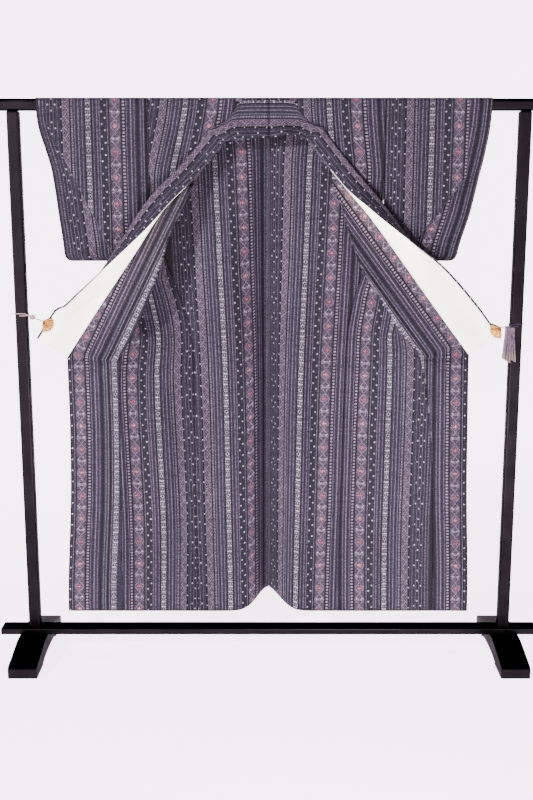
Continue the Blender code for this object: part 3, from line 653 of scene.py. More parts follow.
# Creases: from and to points as (x, z), how far the cloth stands out to the front, half width
CREASES = {
    "front_left": (
        ((-0.330, 1.735), (-0.240, 1.560), -0.0050, 0.018),
        ((-0.290, 1.735), (-0.210, 1.620), 0.0030, 0.015),
        ((-0.360, 0.940), (-0.345, 0.300), 0.0060, 0.030),
        ((-0.290, 0.960), (-0.270, 0.250), -0.0070, 0.020),
        ((-0.390, 0.971), (-0.520, 0.971), 0.0070, 0.0050),
        ((-0.390, 0.962), (-0.520, 0.962), -0.0060, 0.0050),
    ),
    "front_right": (
        ((0.310, 1.735), (0.230, 1.600), -0.0050, 0.018),
        ((0.250, 1.735), (0.200, 1.650), 0.0030, 0.015),
        ((0.370, 0.940), (0.350, 0.250), 0.0060, 0.030),
        ((0.290, 0.960), (0.275, 0.250), -0.0080, 0.022),
        ((0.410, 0.981), (0.560, 0.981), 0.0070, 0.0050),
        ((0.410, 0.972), (0.560, 0.972), -0.0060, 0.0050),
    ),
    "back_left": (
        ((-0.120, 1.560), (-0.150, 0.300), 0.0090, 0.035),
        ((-0.205, 1.300), (-0.215, 0.200), 0.0060, 0.018),
        ((-0.060, 1.500), (-0.050, 0.500), -0.0040, 0.024),
        ((-0.250, 1.600), (-0.100, 1.450), 0.0030, 0.020),
    ),
    "back_right": (
        ((0.090, 1.560), (0.110, 0.300), 0.0090, 0.030),
        ((0.180, 1.300), (0.170, 0.200), 0.0080, 0.020),
        ((0.040, 1.500), (0.035, 0.500), -0.0030, 0.020),
        ((0.240, 1.600), (0.110, 1.480), 0.0030, 0.020),
    ),
    "okumi_left": (
        ((-0.300, 1.330), (-0.500, 1.020), 0.0060, 0.014),
        ((-0.400, 0.971), (-0.700, 0.971), 0.0080, 0.0050),
        ((-0.400, 0.962), (-0.700, 0.962), -0.0060, 0.0050),
        ((-0.560, 0.900), (-0.570, 0.250), 0.0050, 0.026),
        ((-0.610, 0.900), (-0.620, 0.250), -0.0030, 0.016),
    ),
    "okumi_right": (
        ((0.270, 1.360), (0.490, 1.030), 0.0070, 0.014),
        ((0.285, 1.300), (0.480, 1.000), -0.0050, 0.016),
        ((0.400, 0.981), (0.700, 0.981), 0.0080, 0.0050),
        ((0.400, 0.972), (0.700, 0.972), -0.0060, 0.0050),
        ((0.560, 0.900), (0.575, 0.250), 0.0050, 0.026),
        ((0.530, 0.900), (0.530, 0.400), -0.0030, 0.016),
    ),
    "sleeve_left": (
        ((-0.430, 1.720), (-0.400, 1.350), 0.0040, 0.024),
        ((-0.560, 1.700), (-0.520, 1.500), 0.0030, 0.022),
        ((-0.620, 1.450), (-0.590, 1.300), 0.0035, 0.016),
    ),
    "sleeve_right": (
        ((0.400, 1.720), (0.400, 1.350), 0.0040, 0.024),
        ((0.520, 1.700), (0.500, 1.500), 0.0030, 0.022),
        ((0.590, 1.450), (0.560, 1.300), 0.0035, 0.016),
    ),
}


def crease_push(name, x, z):
    """How far all creases of a piece push a point to the front."""
    push = 0.0
    for (x0, z0), (x1, z1), depth, half in CREASES.get(name, ()):
        way = Vector((x1 - x0, z1 - z0))
        spot = Vector((x - x0, z - z0))
        along = spot.dot(way) / way.length_squared
        across = (spot - way * along).length
        ends = smooth(along / 0.25) * smooth((1 - along) / 0.25)
        push += depth * ends * exp(-((across / half) ** 2))
    return push


def soften(name, rows, wrinkle, only_rows=None, hold=0.012):
    """Lays creases and small wrinkles on rows of points, fading out at the sewn edges."""
    soft = []
    for j, row in enumerate(rows):
        reach = lengths(row)
        new_row = []
        for i, point in enumerate(row):
            edge = min(reach[i], reach[-1] - reach[i])
            free = smooth(edge / hold) * smooth((BEND_Z - point.z) / 0.05)
            push = crease_push(name, point.x, point.z)
            seed = Vector((point.x * 9, point.z * 5, len(name)))
            push += wrinkle * (noise.noise(seed) + 0.5 * noise.noise(seed * 2.7))
            if only_rows and not only_rows[j]:
                push = 0.0
            new_row.append(point - Vector((0, push * free, 0)))
        soft.append(new_row)
    return soft


# The cloth pieces
def levels(first, last, step):
    return steps(first, last, max(2, round(abs(first - last) / step)))


def fold_levels(side, first, last, step):
    """Heights down a front panel, close together at the lower edge of its slanting flap."""
    fold = CREASE_Z[side]
    far = [z for z in levels(first, last, step) if abs(z - fold) > 0.014]
    return sorted(far + steps(fold - 0.012, fold + 0.012, 8), reverse=True)


def front_rows(side, step):
    """Rows of points of a front panel, and for each its distance down from the rail."""
    rows = []
    downs = []
    for reach in steps(0.0, RAIL_WRAP, RAIL_STEPS):
        deep, z = over_rail(max(reach, 0.0004))
        ends = (collar_out(side, NECK_Z)[0] - COLLAR_TUCK, SLEEVE_SEAM[side] - SEAM)
        outs = steps(*ends, sum(FRONT_ACROSS))
        rows.append([Vector((side * out, RAIL_Y - deep, z)) for out in outs])
        downs.append(reach)
    for z in fold_levels(side, BEND_Z, FRONT_ROWS[side][-1][0], step)[1:]:
        points = [Vector((side * p.x, p.y, z)) for p in front_section(side, z)]
        rows.append([p + hem_shift(side, p) for p in points])
        downs.append(RAIL_WRAP + BEND_Z - z)
    return rows, downs


def add_front(side, settings, material):
    name = "front_" + SIDE_NAMES[side]
    rows, downs = front_rows(side, settings.step)
    rows = turn_in(rows, last=False, depth=0.0045, close=0.0016)
    rows = turn_in(rows, first=False, depth=0.010, close=0.002)
    charts = []
    for row, down in zip(rows, downs):
        from_side = lengths(row[::-1])[::-1]
        start = between(BOLT_START[side], row[0].z)[0]
        charts.append([(start - side * reach, down) for reach in from_side])
    soft = soften(name, rows, settings.wrinkle)
    piece = grid_piece(name + "_cloth", soft, charts, material, settings.wall)
    seat(piece, name)
    return piece


def okumi_chart(side, out, z):
    """Place on the bolt: stripes slant above the crease and meet the upright ones on a mitre."""
    slant = radians(OKUMI_SLANT[side])
    corner = Vector((COLLAR_ROWS[side][-1][0], COLLAR_ROWS[side][-1][2]))
    spot = Vector((out, z)) - corner
    high, low = OKUMI_EDGE[side]
    mitre = (high - low) / sin(slant) + spot.x * tan(slant / 2)
    share = smooth(0.5 + (spot.y - mitre) / MITRE_SOFT)
    edge = between(FRONT_EDGE[side], z)[0]
    slanted = Vector((high - spot.dot(Vector((cos(slant), sin(slant)))),
                      spot.dot(Vector((sin(slant), -cos(slant))))))
    place = Vector((low + edge - out, -spot.y)).lerp(slanted, share)
    return place.x, place.y + RAIL_WRAP + BEND_Z - corner.y


def add_okumi(side, settings, material):
    name = "okumi_" + SIDE_NAMES[side]
    top = OKUMI_TOP[side]
    hem = FRONT_ROWS[side][-1][0]
    rows = []
    charts = []
    for z in fold_levels(side, top, hem, settings.step):
        section = okumi_section(side, z, OKUMI_COLUMNS)
        row = []
        chart = []
        for point in section:
            spot = Vector((side * point.x, point.y, z))
            row.append(spot + hem_shift(side, spot))
            chart.append(okumi_chart(side, point.x, z))
        rows.append(row)
        charts.append(chart)
    rows = turn_in(rows, last=False, depth=0.0034, close=0.0014)
    charts = [[chart[0]] + chart for chart in charts]
    soft = soften(name, rows, settings.wrinkle, hold=0.006)
    piece = grid_piece(name + "_cloth", soft, charts, material, settings.wall)
    seat(piece, name)
    return piece


def add_back(side, settings, material):
    name = "back_" + SIDE_NAMES[side]
    neck = (collar_out(side, NECK_Z)[0] - 0.0038) / SLEEVE_SEAM[side]
    inner = steps(0.0, neck, BACK_INNER)
    shares = inner + steps(neck, 1.0, BACK_OUTER)[1:]
    rows = []
    downs = []
    for reach in steps(-RAIL_WRAP, RAIL_WRAP, 2 * RAIL_STEPS):
        row = []
        for i, share in enumerate(shares):
            out = mix(CENTRE_SEAM / 2, SLEEVE_SEAM[side] - SEAM, share)
            spot = max(reach, 0.0008) if i > BACK_INNER else reach
            deep, z = over_rail(abs(spot))
            row.append(Vector((side * out, RAIL_Y + (1 if spot > 0 else -1) * deep, z)))
        rows.append(row)
        downs.append(reach)
    last = FRONT_ROWS[side][-1][0]
    for level in levels(BEND_Z, last, settings.step)[1:]:
        fall = (BEND_Z - level) / (BEND_Z - last)
        row = []
        for point in back_section(side, level, shares):
            spot = Vector((side * point.x, point.y, level))
            notch = HEM_NOTCH * fall * exp(-((point.x / HEM_NOTCH_WIDE) ** 2))
            row.append(spot + hem_shift(side, spot) + Vector((0.0, 0.0, notch)))
        for point in row:
            reach = abs(point.x) / CENTRE_VALLEY[side][0]
            point.y += CENTRE_VALLEY[side][1] * smooth(fall / 0.12) * exp(-reach * reach)
        rows.append(row)
        downs.append(RAIL_WRAP + BEND_Z - level)
    wrap = turn_in(rows[: 2 * RAIL_STEPS])
    hung = turn_in(rows[2 * RAIL_STEPS :], last=False, depth=0.010)
    rows = wrap + turn_in(hung, first=False, depth=0.012, close=0.005)
    charts = []
    for row, down in zip(rows, downs):
        charts.append([(BACK_START[side] + side * reach, down) for reach in lengths(row)])
    soft = soften(name, rows, settings.wrinkle)
    piece = grid_piece(name + "_cloth", soft, charts, material, settings.wall,
                       leave_out=(BACK_INNER + 1, RAIL_STEPS))
    seat(piece, name)
    return piece


def add_sleeve(side, settings, material):
    name = "sleeve_" + SIDE_NAMES[side]
    last = RAIL_WRAP + BEND_Z - SLEEVE_BOTTOM
    spots = steps(0.0, RAIL_WRAP, RAIL_STEPS) + levels(RAIL_WRAP, last - 0.012, settings.step)[1:]
    spots += [last - 0.008, last - 0.004, last - 0.0015, last]
    layers = [(spot, True) for spot in reversed(spots)] + [(spot, False) for spot in spots[1:]]
    rows = []
    charts = []
    for spot, front in layers:
        row = sleeve_layer(side, spot, front)
        edge = max(abs(point.x) for point in row)
        chart = []
        for i, point in enumerate(row):
            from_edge = edge - abs(point.x)
            from_seam = abs(point.x) - SLEEVE_SEAM[side]
            if side < 0 and i <= SLEEVE_INNER:
                across = 0.330 - from_seam
            elif side < 0:
                across = from_edge
            else:
                across = 0.333 - from_edge if i > SLEEVE_INNER else 0.015 + from_seam
            chart.append((across, -spot if not front else spot))
        rows.append(row)
        charts.append(chart)
    soft = soften(name, rows, settings.wrinkle, [front for spot, front in layers])
    for row, (spot, front) in zip(soft, layers):
        if spot == last:
            for point in row:
                point.y = RAIL_Y
    piece = grid_piece(name + "_cloth", soft, charts, material, settings.wall, closed=True)
    seat(piece, name)
    return piece


def add_collar(side, settings, material, lining_material):
    name = "collar_" + SIDE_NAMES[side]
    parts = steps(0.0, len(COLLAR_ROWS[side]) - 1, COLLAR_STEPS)
    rows = [collar_section(side, part) for part in parts]
    for point in rows[0]:
        point.x = side * settings.wall * 0.6
    along = lengths([row[len(row) // 2] for row in rows])
    charts = []
    for row, down in zip(rows, along):
        charts.append([(0.152 - across, down) for across in lengths(row)])
    for row, depth in zip(rows, NECK_GROOVE):
        for point in row:
            point.y += depth
    collar = grid_piece(name + "_cloth", rows, charts, material, settings.wall)
    seat(collar, name)
    first = next(i for i, part in enumerate(parts) if part >= LINING_PART[side])
    inner = offset_rows(rows[first:], -side * LINING_LAP)
    inner = [row[:-2] + [row[-1].lerp(row[-3], 0.6)] for row in inner]
    shape = [[(across, down) for across in lengths(row)] for row, down in zip(inner, along)]
    lining = grid_piece("collar_lining_" + SIDE_NAMES[side] + "_cloth", inner, shape,
                        lining_material, settings.wall * 0.7)
    seat(lining, "collar_lining_" + SIDE_NAMES[side])
    return collar, lining


# Clips, one ribbed scallop shell in front of the collar's free edge and one behind it
CLIP_ROW = {-1: 11.44, 1: 11.70}
CLIP_WIDE = 0.038
CLIP_ON = {-1: 0.0080, 1: 0.0020}
SHELL_OPEN = 0.0064
SHELL_DOME = 0.0050
SHELL_RIBS = 9
SHELL_SPREAD = 58.0
SHELL_WALL = 0.0009


def clip_frame(side):
    """Turn and place of the clip on the collar's free edge."""
    row = collar_section(side, CLIP_ROW[side])
    inward = (row[-3] - row[-1]).normalized()
    above = collar_section(side, CLIP_ROW[side] - 0.15)[-1]
    below = collar_section(side, CLIP_ROW[side] + 0.15)[-1]
    ahead = inward.cross(below - above).normalized()
    if ahead.y > 0:
        ahead = -ahead
    return row[-1] + inward * CLIP_ON[side], inward.cross(ahead), inward, ahead


def add_clip(side, material):
    """A scallop clip: both ribbed shells run from the hinge by the cord over the cloth."""
    centre, across, inward, ahead = clip_frame(side)
    around = SHELL_RIBS * 8
    bm = bmesh.new()
    for face in (-1, 1):
        grid = bmesh.ops.create_grid(bm, x_segments=around, y_segments=18, size=1.0)
        for vert in grid["verts"]:
            turn = radians(vert.co.x * SHELL_SPREAD)
            far = (vert.co.y + 1) / 2
            rim = 1.0 - 0.05 * (1 - cos(vert.co.x * pi * SHELL_RIBS)) * far
            reach = CLIP_WIDE * far * rim * (1.0 - 0.12 * vert.co.x**2)
            lift = SHELL_OPEN * smooth(far / 0.35) + SHELL_DOME * sin(pi * far**0.8) * cos(turn)
            lift += 0.0009 * cos(vert.co.x * pi * SHELL_RIBS) * smooth(far / 0.3) + 0.0010
            spot = across * (reach * sin(turn)) + inward * (reach * cos(turn) - CLIP_WIDE / 2)
            vert.co = centre + spot + ahead * (face * lift)
    hinge = bmesh.ops.create_uvsphere(bm, u_segments=16, v_segments=10, radius=0.0032)
    bmesh.ops.translate(bm, vec=centre - inward * (CLIP_WIDE / 2 - 0.0034), verts=hinge["verts"])
    clip = finished_mesh("clip_" + SIDE_NAMES[side] + "_shells", bm, material)
    add_wall(clip, SHELL_WALL)
    return seat(clip, "clip_" + SIDE_NAMES[side])


# Shader helpers
def feed(tree, socket, value):
    """Links an output to a socket, or sets the socket's own value."""
    if isinstance(value, bpy.types.NodeSocket):
        tree.links.new(value, socket)
    else:
        socket.default_value = value


def calc(tree, operation, *values):
    node = tree.nodes.new("ShaderNodeMath")
    node.operation = operation
    for socket, value in zip(node.inputs, values):
        feed(tree, socket, value)
    return node.outputs[0]


def times(tree, first, second):
    return calc(tree, "MULTIPLY", first, second)


def plus(tree, first, second):
    return calc(tree, "ADD", first, second)


def minus(tree, first, second):
    return calc(tree, "SUBTRACT", first, second)


def blend(tree, share, first, second, mode="MIX"):
    node = tree.nodes.new("ShaderNodeMix")
    node.data_type = "RGBA"
    node.blend_type = mode
    feed(tree, node.inputs["Factor"], share)
    feed(tree, node.inputs[6], first)
    feed(tree, node.inputs[7], second)
    return node.outputs[2]


def fade(tree, value, low, high, to_low=0.0, to_high=1.0):
    """Smooth step of a value from low to high."""
    node = tree.nodes.new("ShaderNodeMapRange")
    node.interpolation_type = "SMOOTHSTEP"
    for socket, entry in zip(node.inputs, (value, low, high, to_low, to_high)):
        feed(tree, socket, entry)
    return node.outputs[0]


def grain(tree, vector, scale, detail=2.0, roughness=0.5):
    node = tree.nodes.new("ShaderNodeTexNoise")
    feed(tree, node.inputs["Vector"], vector)
    node.inputs["Scale"].default_value = scale
    node.inputs["Detail"].default_value = detail
    node.inputs["Roughness"].default_value = roughness
    return node.outputs["Fac"]


def joined(tree, x, y, z=0.0):
    node = tree.nodes.new("ShaderNodeCombineXYZ")
    for socket, value in zip(node.inputs, (x, y, z)):
        feed(tree, socket, value)
    return node.outputs[0]


def bolt_grain(tree, u, v, across, down, seed=0.0, roughness=0.5):
    """Noise with so many cells to the metre across the bolt and down it."""
    return grain(tree, joined(tree, times(tree, u, across), times(tree, v, down), seed), 1.0,
                 2.0, roughness)


def paint(tree, shown, mask, share, look):
    """Lays a colour over what is shown, by a mask and a share."""
    return blend(tree, times(tree, mask, share), shown, colour(*look))


def split(tree, vector):
    """The x, y and z of a vector."""
    node = tree.nodes.new("ShaderNodeSeparateXYZ")
    tree.links.new(vector, node.inputs[0])
    return node.outputs


def group(name, inputs, outputs=("Mask",)):
    """A new node group with named sockets, with its input and output ends."""
    tree = bpy.data.node_groups.new(name, "ShaderNodeTree")
    for label in inputs:
        tree.interface.new_socket(label, in_out="INPUT", socket_type="NodeSocketFloat")
    for label in outputs:
        kind = "NodeSocketColor" if label == "Color" else "NodeSocketFloat"
        tree.interface.new_socket(label, in_out="OUTPUT", socket_type=kind)
    entry = tree.nodes.new("NodeGroupInput")
    leave = tree.nodes.new("NodeGroupOutput")
    return tree, entry.outputs, leave.inputs


def use(tree, name, **values):
    """Puts a group in a tree with its inputs fed, and gives its outputs."""
    node = tree.nodes.new("ShaderNodeGroup")
    node.node_tree = bpy.data.node_groups[name]
    for label, value in values.items():
        feed(tree, node.inputs[label], value)
    return node.outputs


def make_dots_group():
    """A column of round kasuri dots down the bolt."""
    names = ("U", "V", "Centre", "Spacing", "Radius", "Start")
    tree, entry, leave = group("dots", names)
    u, v, centre, spacing, radius, start = (entry[n] for n in names)
    across = minus(tree, u, centre)
    turns = calc(tree, "DIVIDE", plus(tree, v, start), spacing)
    along = minus(tree, calc(tree, "FRACT", turns), 0.5)
    along = times(tree, along, spacing)
    far = calc(tree, "SQRT", plus(tree, calc(tree, "POWER", across, 2.0),
                                  calc(tree, "POWER", along, 2.0)))
    ratio = calc(tree, "DIVIDE", far, radius)
    tree.links.new(fade(tree, ratio, 1.25, 0.75), leave["Mask"])


def make_band_group():
    """A stripe along the bolt."""
    names = ("U", "Centre", "Half", "Soft")
    tree, entry, leave = group("band", names)
    off = calc(tree, "ABSOLUTE", minus(tree, entry["U"], entry["Centre"]))
    inner = minus(tree, entry["Half"], entry["Soft"])
    outer = plus(tree, entry["Half"], entry["Soft"])
    tree.links.new(fade(tree, off, outer, inner), leave["Mask"])


def make_bars_group():
    """Short bars across a stripe, one above the other."""
    names = ("U", "V", "Centre", "Half", "Pitch", "Fill", "Soft")
    tree, entry, leave = group("bars", names)
    band = use(tree, "band", U=entry["U"], Centre=entry["Centre"], Half=entry["Half"],
               Soft=entry["Soft"])["Mask"]
    turn = calc(tree, "FRACT", calc(tree, "DIVIDE", entry["V"], entry["Pitch"]))
    off = calc(tree, "ABSOLUTE", minus(tree, turn, 0.5))
    half = times(tree, entry["Fill"], 0.5)
    bar = fade(tree, minus(tree, off, half), 0.07, -0.07)
    tree.links.new(times(tree, band, bar), leave["Mask"])


def make_lattice_group():
    """Crossed slanting lines, as in a mesh."""
    names = ("U", "V", "Pitch", "Line")
    tree, entry, leave = group("lattice", names)
    lines = []
    for operation in ("ADD", "SUBTRACT"):
        slant = calc(tree, operation, times(tree, entry["U"], 1.4), entry["V"])
        turn = calc(tree, "FRACT", calc(tree, "DIVIDE", slant, entry["Pitch"]))
        off = calc(tree, "ABSOLUTE", minus(tree, turn, 0.5))
        lines.append(fade(tree, minus(tree, off, entry["Line"]), 0.08, -0.08))
    tree.links.new(calc(tree, "MAXIMUM", *lines), leave["Mask"])


def make_diamond_group():
    """Stacked diamonds with a number for each, and their rims."""
    names = ("U", "V", "Centre", "Half", "Pitch")
    tree, entry, leave = group("diamonds", names, ("Fill", "Rim", "Number"))
    turns = calc(tree, "DIVIDE", entry["V"], entry["Pitch"])
    up = calc(tree, "ABSOLUTE", minus(tree, calc(tree, "FRACT", turns), 0.5))
    side = calc(tree, "ABSOLUTE", minus(tree, entry["U"], entry["Centre"]))
    side = calc(tree, "DIVIDE", side, entry["Half"])
    size = plus(tree, times(tree, up, 2.0), side)
    tree.links.new(fade(tree, size, 0.86, 0.68), leave["Fill"])
    off = calc(tree, "ABSOLUTE", minus(tree, size, 0.95))
    tree.links.new(fade(tree, off, 0.14, 0.05), leave["Rim"])
    tree.links.new(calc(tree, "FLOOR", turns), leave["Number"])


def make_weave_group():
    """Slubs of hand-spun silk along the warp and across it, as colour share and height."""
    names = ("U", "V", "Thread")
    tree, entry, leave = group("weave", names, ("Warp", "Weft", "Height"))
    fine = calc(tree, "DIVIDE", 1.0, entry["Thread"])
    u = times(tree, entry["U"], fine)
    v = times(tree, entry["V"], fine)
    warp = grain(tree, joined(tree, u, times(tree, v, 0.018)), 1.0, 2.0)
    weft = grain(tree, joined(tree, times(tree, u, 0.018), v, 7.0), 1.0, 2.0)
    tree.links.new(warp, leave["Warp"])
    tree.links.new(weft, leave["Weft"])
    tree.links.new(plus(tree, warp, weft), leave["Height"])


# Colours of the bolt's stripes, each from its place across the bolt in centimetres
INK = (13, 10, 17)
PLUM = (50, 36, 50)
SLATE = (46, 42, 56)
GREY = (58, 52, 68)
LILAC = (82, 72, 92)
PINK = (68, 50, 66)
BLUE = (50, 48, 64)
PURPLE = (54, 42, 62)
PALE = (144, 128, 150)
WHITE = (206, 196, 210)
RED = (176, 58, 84)
ROSE = (126, 82, 102)
SALMON = (186, 120, 128)
BOLT_WIDE = 36.0
MOTIF = 7.6
MOTIF_AT = 23.25
LATTICE_AT = 8.7
LADDERS_AT = (15.25, 34.3)
LINK_PITCH = 6.7
STRIPES = (
    (0.0, INK), (0.5, SLATE), (1.6, INK), (2.4, SLATE), (7.0, INK), (7.7, PINK), (9.7, INK),
    (10.6, INK), (10.9, BLUE), (11.7, INK), (11.9, GREY), (12.8, INK), (13.0, BLUE), (14.0, INK),
    (14.5, GREY), (16.0, INK), (16.4, PURPLE), (17.2, INK), (17.4, GREY), (18.5, SLATE),
    (21.3, INK), (21.6, PLUM), (24.9, INK), (26.3, PURPLE), (27.2, INK), (27.4, GREY),
    (28.6, PURPLE), (29.5, INK), (30.3, BLUE), (31.4, INK), (32.8, GREY), (34.2, SLATE),
)
DOT_COLUMNS = (
    # centre, spacing, radius, start, in centimetres
    (3.4, 6.8, 0.22, 0.0),
    (4.5, 3.4, 0.22, 0.0),
    (5.6, 6.8, 0.22, 0.0),
    (7.35, 3.4, 0.18, 1.0),
    (19.3, 3.6, 0.23, 0.0),
    (20.3, 3.6, 0.23, 1.8),
)
SPECKLED = (
    # centre, half width, share of pale, pitch
    (2.0, 0.22, 0.6, 0.5), (10.5, 0.28, 0.8, 0.5), (25.8, 0.38, 0.95, 1.0), (28.0, 0.18, 0.6, 0.5),
    (33.6, 0.20, 0.6, 0.5),
)
THIN_LINES = (
    # centre, half width in centimetres, share of pale
    (1.1, 0.08, 0.4), (3.0, 0.07, 0.4), (4.0, 0.07, 0.45), (5.1, 0.07, 0.45), (6.2, 0.07, 0.4),
    (7.75, 0.07, 0.6), (9.65, 0.07, 0.6), (11.3, 0.09, 0.5), (12.4, 0.10, 0.6), (13.5, 0.09, 0.5),
    (16.8, 0.09, 0.5), (17.9, 0.10, 0.5), (18.7, 0.08, 0.6), (21.0, 0.08, 0.6), (26.7, 0.09, 0.5),
    (28.0, 0.10, 0.5), (29.0, 0.09, 0.5), (30.9, 0.10, 0.5), (31.7, 0.12, 0.6), (32.9, 0.10, 0.5),
)
DARK_LINES = (3.7, 5.4, 19.0, 19.6, 20.0, 20.6, 28.3, 33.1)


def make_pattern_group():
    """The bolt's whole pattern as a colour, from the place on it in metres."""
    tree, entry, leave = group("bolt pattern", ("U", "V"), ("Color",))
    u = times(tree, entry["U"], 100.0)
    v = times(tree, entry["V"], 100.0)
    ramp = tree.nodes.new("ShaderNodeValToRGB")
    ramp.color_ramp.interpolation = "CONSTANT"
    stops = ramp.color_ramp.elements
    stops.remove(stops[1])
    for place, look in STRIPES:
        stop = stops[0] if place == 0 else stops.new(place / BOLT_WIDE)
        stop.color = colour(*look)
    tree.links.new(calc(tree, "DIVIDE", u, BOLT_WIDE), ramp.inputs["Fac"])
    shown = ramp.outputs["Color"]
    lines = grain(tree, joined(tree, u, 0.0), 4.2, 3.0, 0.8)
    shown = blend(tree, fade(tree, lines, 0.50, 0.57, 0.0, 0.8), shown, colour(*INK))
    shown = blend(tree, fade(tree, lines, 0.45, 0.36, 0.0, 0.8), shown, colour(*LILAC))
    for centre in DARK_LINES:
        shown = stripe(tree, u, shown, centre, 0.09, 0.85, INK)
    for centre, half, share in THIN_LINES:
        shown = stripe(tree, u, shown, centre, half, share, PALE)
    shown = lattice_column(tree, u, v, shown, LATTICE_AT)
    for centre, half, share, pitch in SPECKLED:
        bars = use(tree, "bars", U=u, V=v, Centre=centre, Half=half, Pitch=pitch, Fill=0.55,
                   Soft=0.08)["Mask"]
        shown = paint(tree, shown, bars, share, PALE)
    for centre in LADDERS_AT:
        shown = ladder_column(tree, u, v, shown, centre)
    shown = motif_column(tree, u, v, shown, MOTIF_AT)
    for centre, spacing, radius, start in DOT_COLUMNS:
        shown = dot(tree, u, v, shown, centre, spacing, radius, start, WHITE, 0.9)
    tree.links.new(shown, leave["Color"])


def stripe(tree, u, shown, centre, half, share, look):
    mask = use(tree, "band", U=u, Centre=centre, Half=half, Soft=0.05)["Mask"]
    return paint(tree, shown, mask, share, look)


def dot(tree, u, v, shown, centre, spacing, radius, start, look, share=1.0):
    mask = use(tree, "dots", U=u, V=v, Centre=centre, Spacing=spacing, Radius=radius,
               Start=start)["Mask"]
    return paint(tree, shown, mask, share, look)


def lattice_column(tree, u, v, shown, centre):
    """A fine mesh of slanting lines with a larger one through it."""
    mesh = use(tree, "lattice", U=u, V=v, Pitch=1.1, Line=0.16)["Mask"]
    large = use(tree, "lattice", U=u, V=v, Pitch=3.3, Line=0.10)["Mask"]
    band = use(tree, "band", U=u, Centre=centre, Half=0.85, Soft=0.05)["Mask"]
    share = plus(tree, times(tree, mesh, 0.35), times(tree, large, 0.3))
    return paint(tree, shown, share, band, PALE)


def ladder_column(tree, u, v, shown, centre):
    """The pale ladder: rungs with an oval link every few centimetres, broken by the dyeing."""
    plain = shown
    band = use(tree, "band", U=u, Centre=centre, Half=0.75, Soft=0.06)["Mask"]
    shown = paint(tree, shown, band, 0.42, PALE)
    rungs = use(tree, "bars", U=u, V=v, Centre=centre, Half=0.72, Pitch=0.84, Fill=0.5,
                Soft=0.08)["Mask"]
    shown = paint(tree, shown, rungs, 0.85, WHITE)
    link = use(tree, "dots", U=u, V=v, Centre=centre, Spacing=LINK_PITCH, Radius=0.95,
               Start=0.0)["Mask"]
    inside = times(tree, link, band)
    shown = paint(tree, shown, inside, 0.8, LILAC)
    shown = dot(tree, u, v, shown, centre, LINK_PITCH, 0.55, 0.0, WHITE, 0.7)
    shown = dot(tree, u, v, shown, centre, LINK_PITCH, 0.30, 0.0, INK)
    for offset in (-0.35, 0.35):
        shown = dot(tree, u, v, shown, centre + offset, 1.68, 0.25, 0.4, INK, 0.9)
    worn = fade(tree, grain(tree, joined(tree, u, v, centre), 2.6, 2.0), 0.42, 0.58, 0.45, 1.0)
    return blend(tree, worn, plain, shown)


def motif_column(tree, u, v, shown, centre):
    """Latticed diamonds with a red heart or a pale star, and wings between them."""
    band = use(tree, "band", U=u, Centre=centre, Half=1.55, Soft=0.06)["Mask"]
    cells = use(tree, "diamonds", U=u, V=v, Centre=centre, Half=1.7, Pitch=MOTIF / 2)
    odd = calc(tree, "ABSOLUTE", calc(tree, "MODULO", cells["Number"], 2.0))
    heart_cell = times(tree, minus(tree, 1.0, odd), band)
    net = use(tree, "lattice", U=u, V=v, Pitch=0.78, Line=0.2)["Mask"]
    inside = times(tree, times(tree, cells["Fill"], heart_cell), net)
    shown = paint(tree, shown, inside, 0.75, ROSE)
    shown = paint(tree, shown, times(tree, band, net), 0.30, PALE)
    rim = times(tree, cells["Rim"], band)
    shown = paint(tree, shown, rim, 0.62, PALE)
    wings = -MOTIF / 4
    for offset, radius in ((-0.62, 0.42), (0.62, 0.42), (0.0, 0.36)):
        shown = dot(tree, u, v, shown, centre + offset, MOTIF, radius, wings, PALE, 0.85)
    for offset in (-1.0, 1.0):
        shown = dot(tree, u, v, shown, centre + offset, MOTIF, 0.22, wings + 0.3, WHITE, 0.7)
        shown = dot(tree, u, v, shown, centre + offset * 0.6, MOTIF / 2, 0.22, 0.0, PALE, 0.7)
    shown = dot(tree, u, v, shown, centre, MOTIF, 0.17, wings, INK, 0.8)
    heart = MOTIF * 3 / 4
    star = wings
    shown = dot(tree, u, v, shown, centre, 2 * MOTIF, 0.55, heart, ROSE, 0.9)
    shown = dot(tree, u, v, shown, centre, 2 * MOTIF, 0.38, heart, RED)
    shown = dot(tree, u, v, shown, centre, 2 * MOTIF, 0.60, star, ROSE, 0.6)
    for offset in (-0.36, 0.0, 0.36):
        shown = dot(tree, u, v, shown, centre + offset, 2 * MOTIF, 0.24, star, SALMON, 0.9)
    for rise in (-0.36, 0.36):
        shown = dot(tree, u, v, shown, centre, 2 * MOTIF, 0.22, star + rise, SALMON, 0.9)
    return dot(tree, u, v, shown, centre, MOTIF, 0.13, MOTIF / 4, WHITE)


def new_material(name):
    material = bpy.data.materials.new(name)
    material.use_nodes = True
    tree = material.node_tree
    return material, tree, tree.nodes["Principled BSDF"].inputs


def bump(tree, height, distance, strength):
    node = tree.nodes.new("ShaderNodeBump")
    node.inputs["Distance"].default_value = distance
    node.inputs["Strength"].default_value = strength
    tree.links.new(height, node.inputs["Height"])
    return node.outputs["Normal"]


def object_coords(tree):
    return tree.nodes.new("ShaderNodeTexCoord").outputs["Object"]


def bolt_place(tree):
    """The place on the bolt in metres: across it, and down it."""
    chart = tree.nodes.new("ShaderNodeUVMap")
    chart.uv_map = "bolt"
    return split(tree, chart.outputs["UV"])[:2]


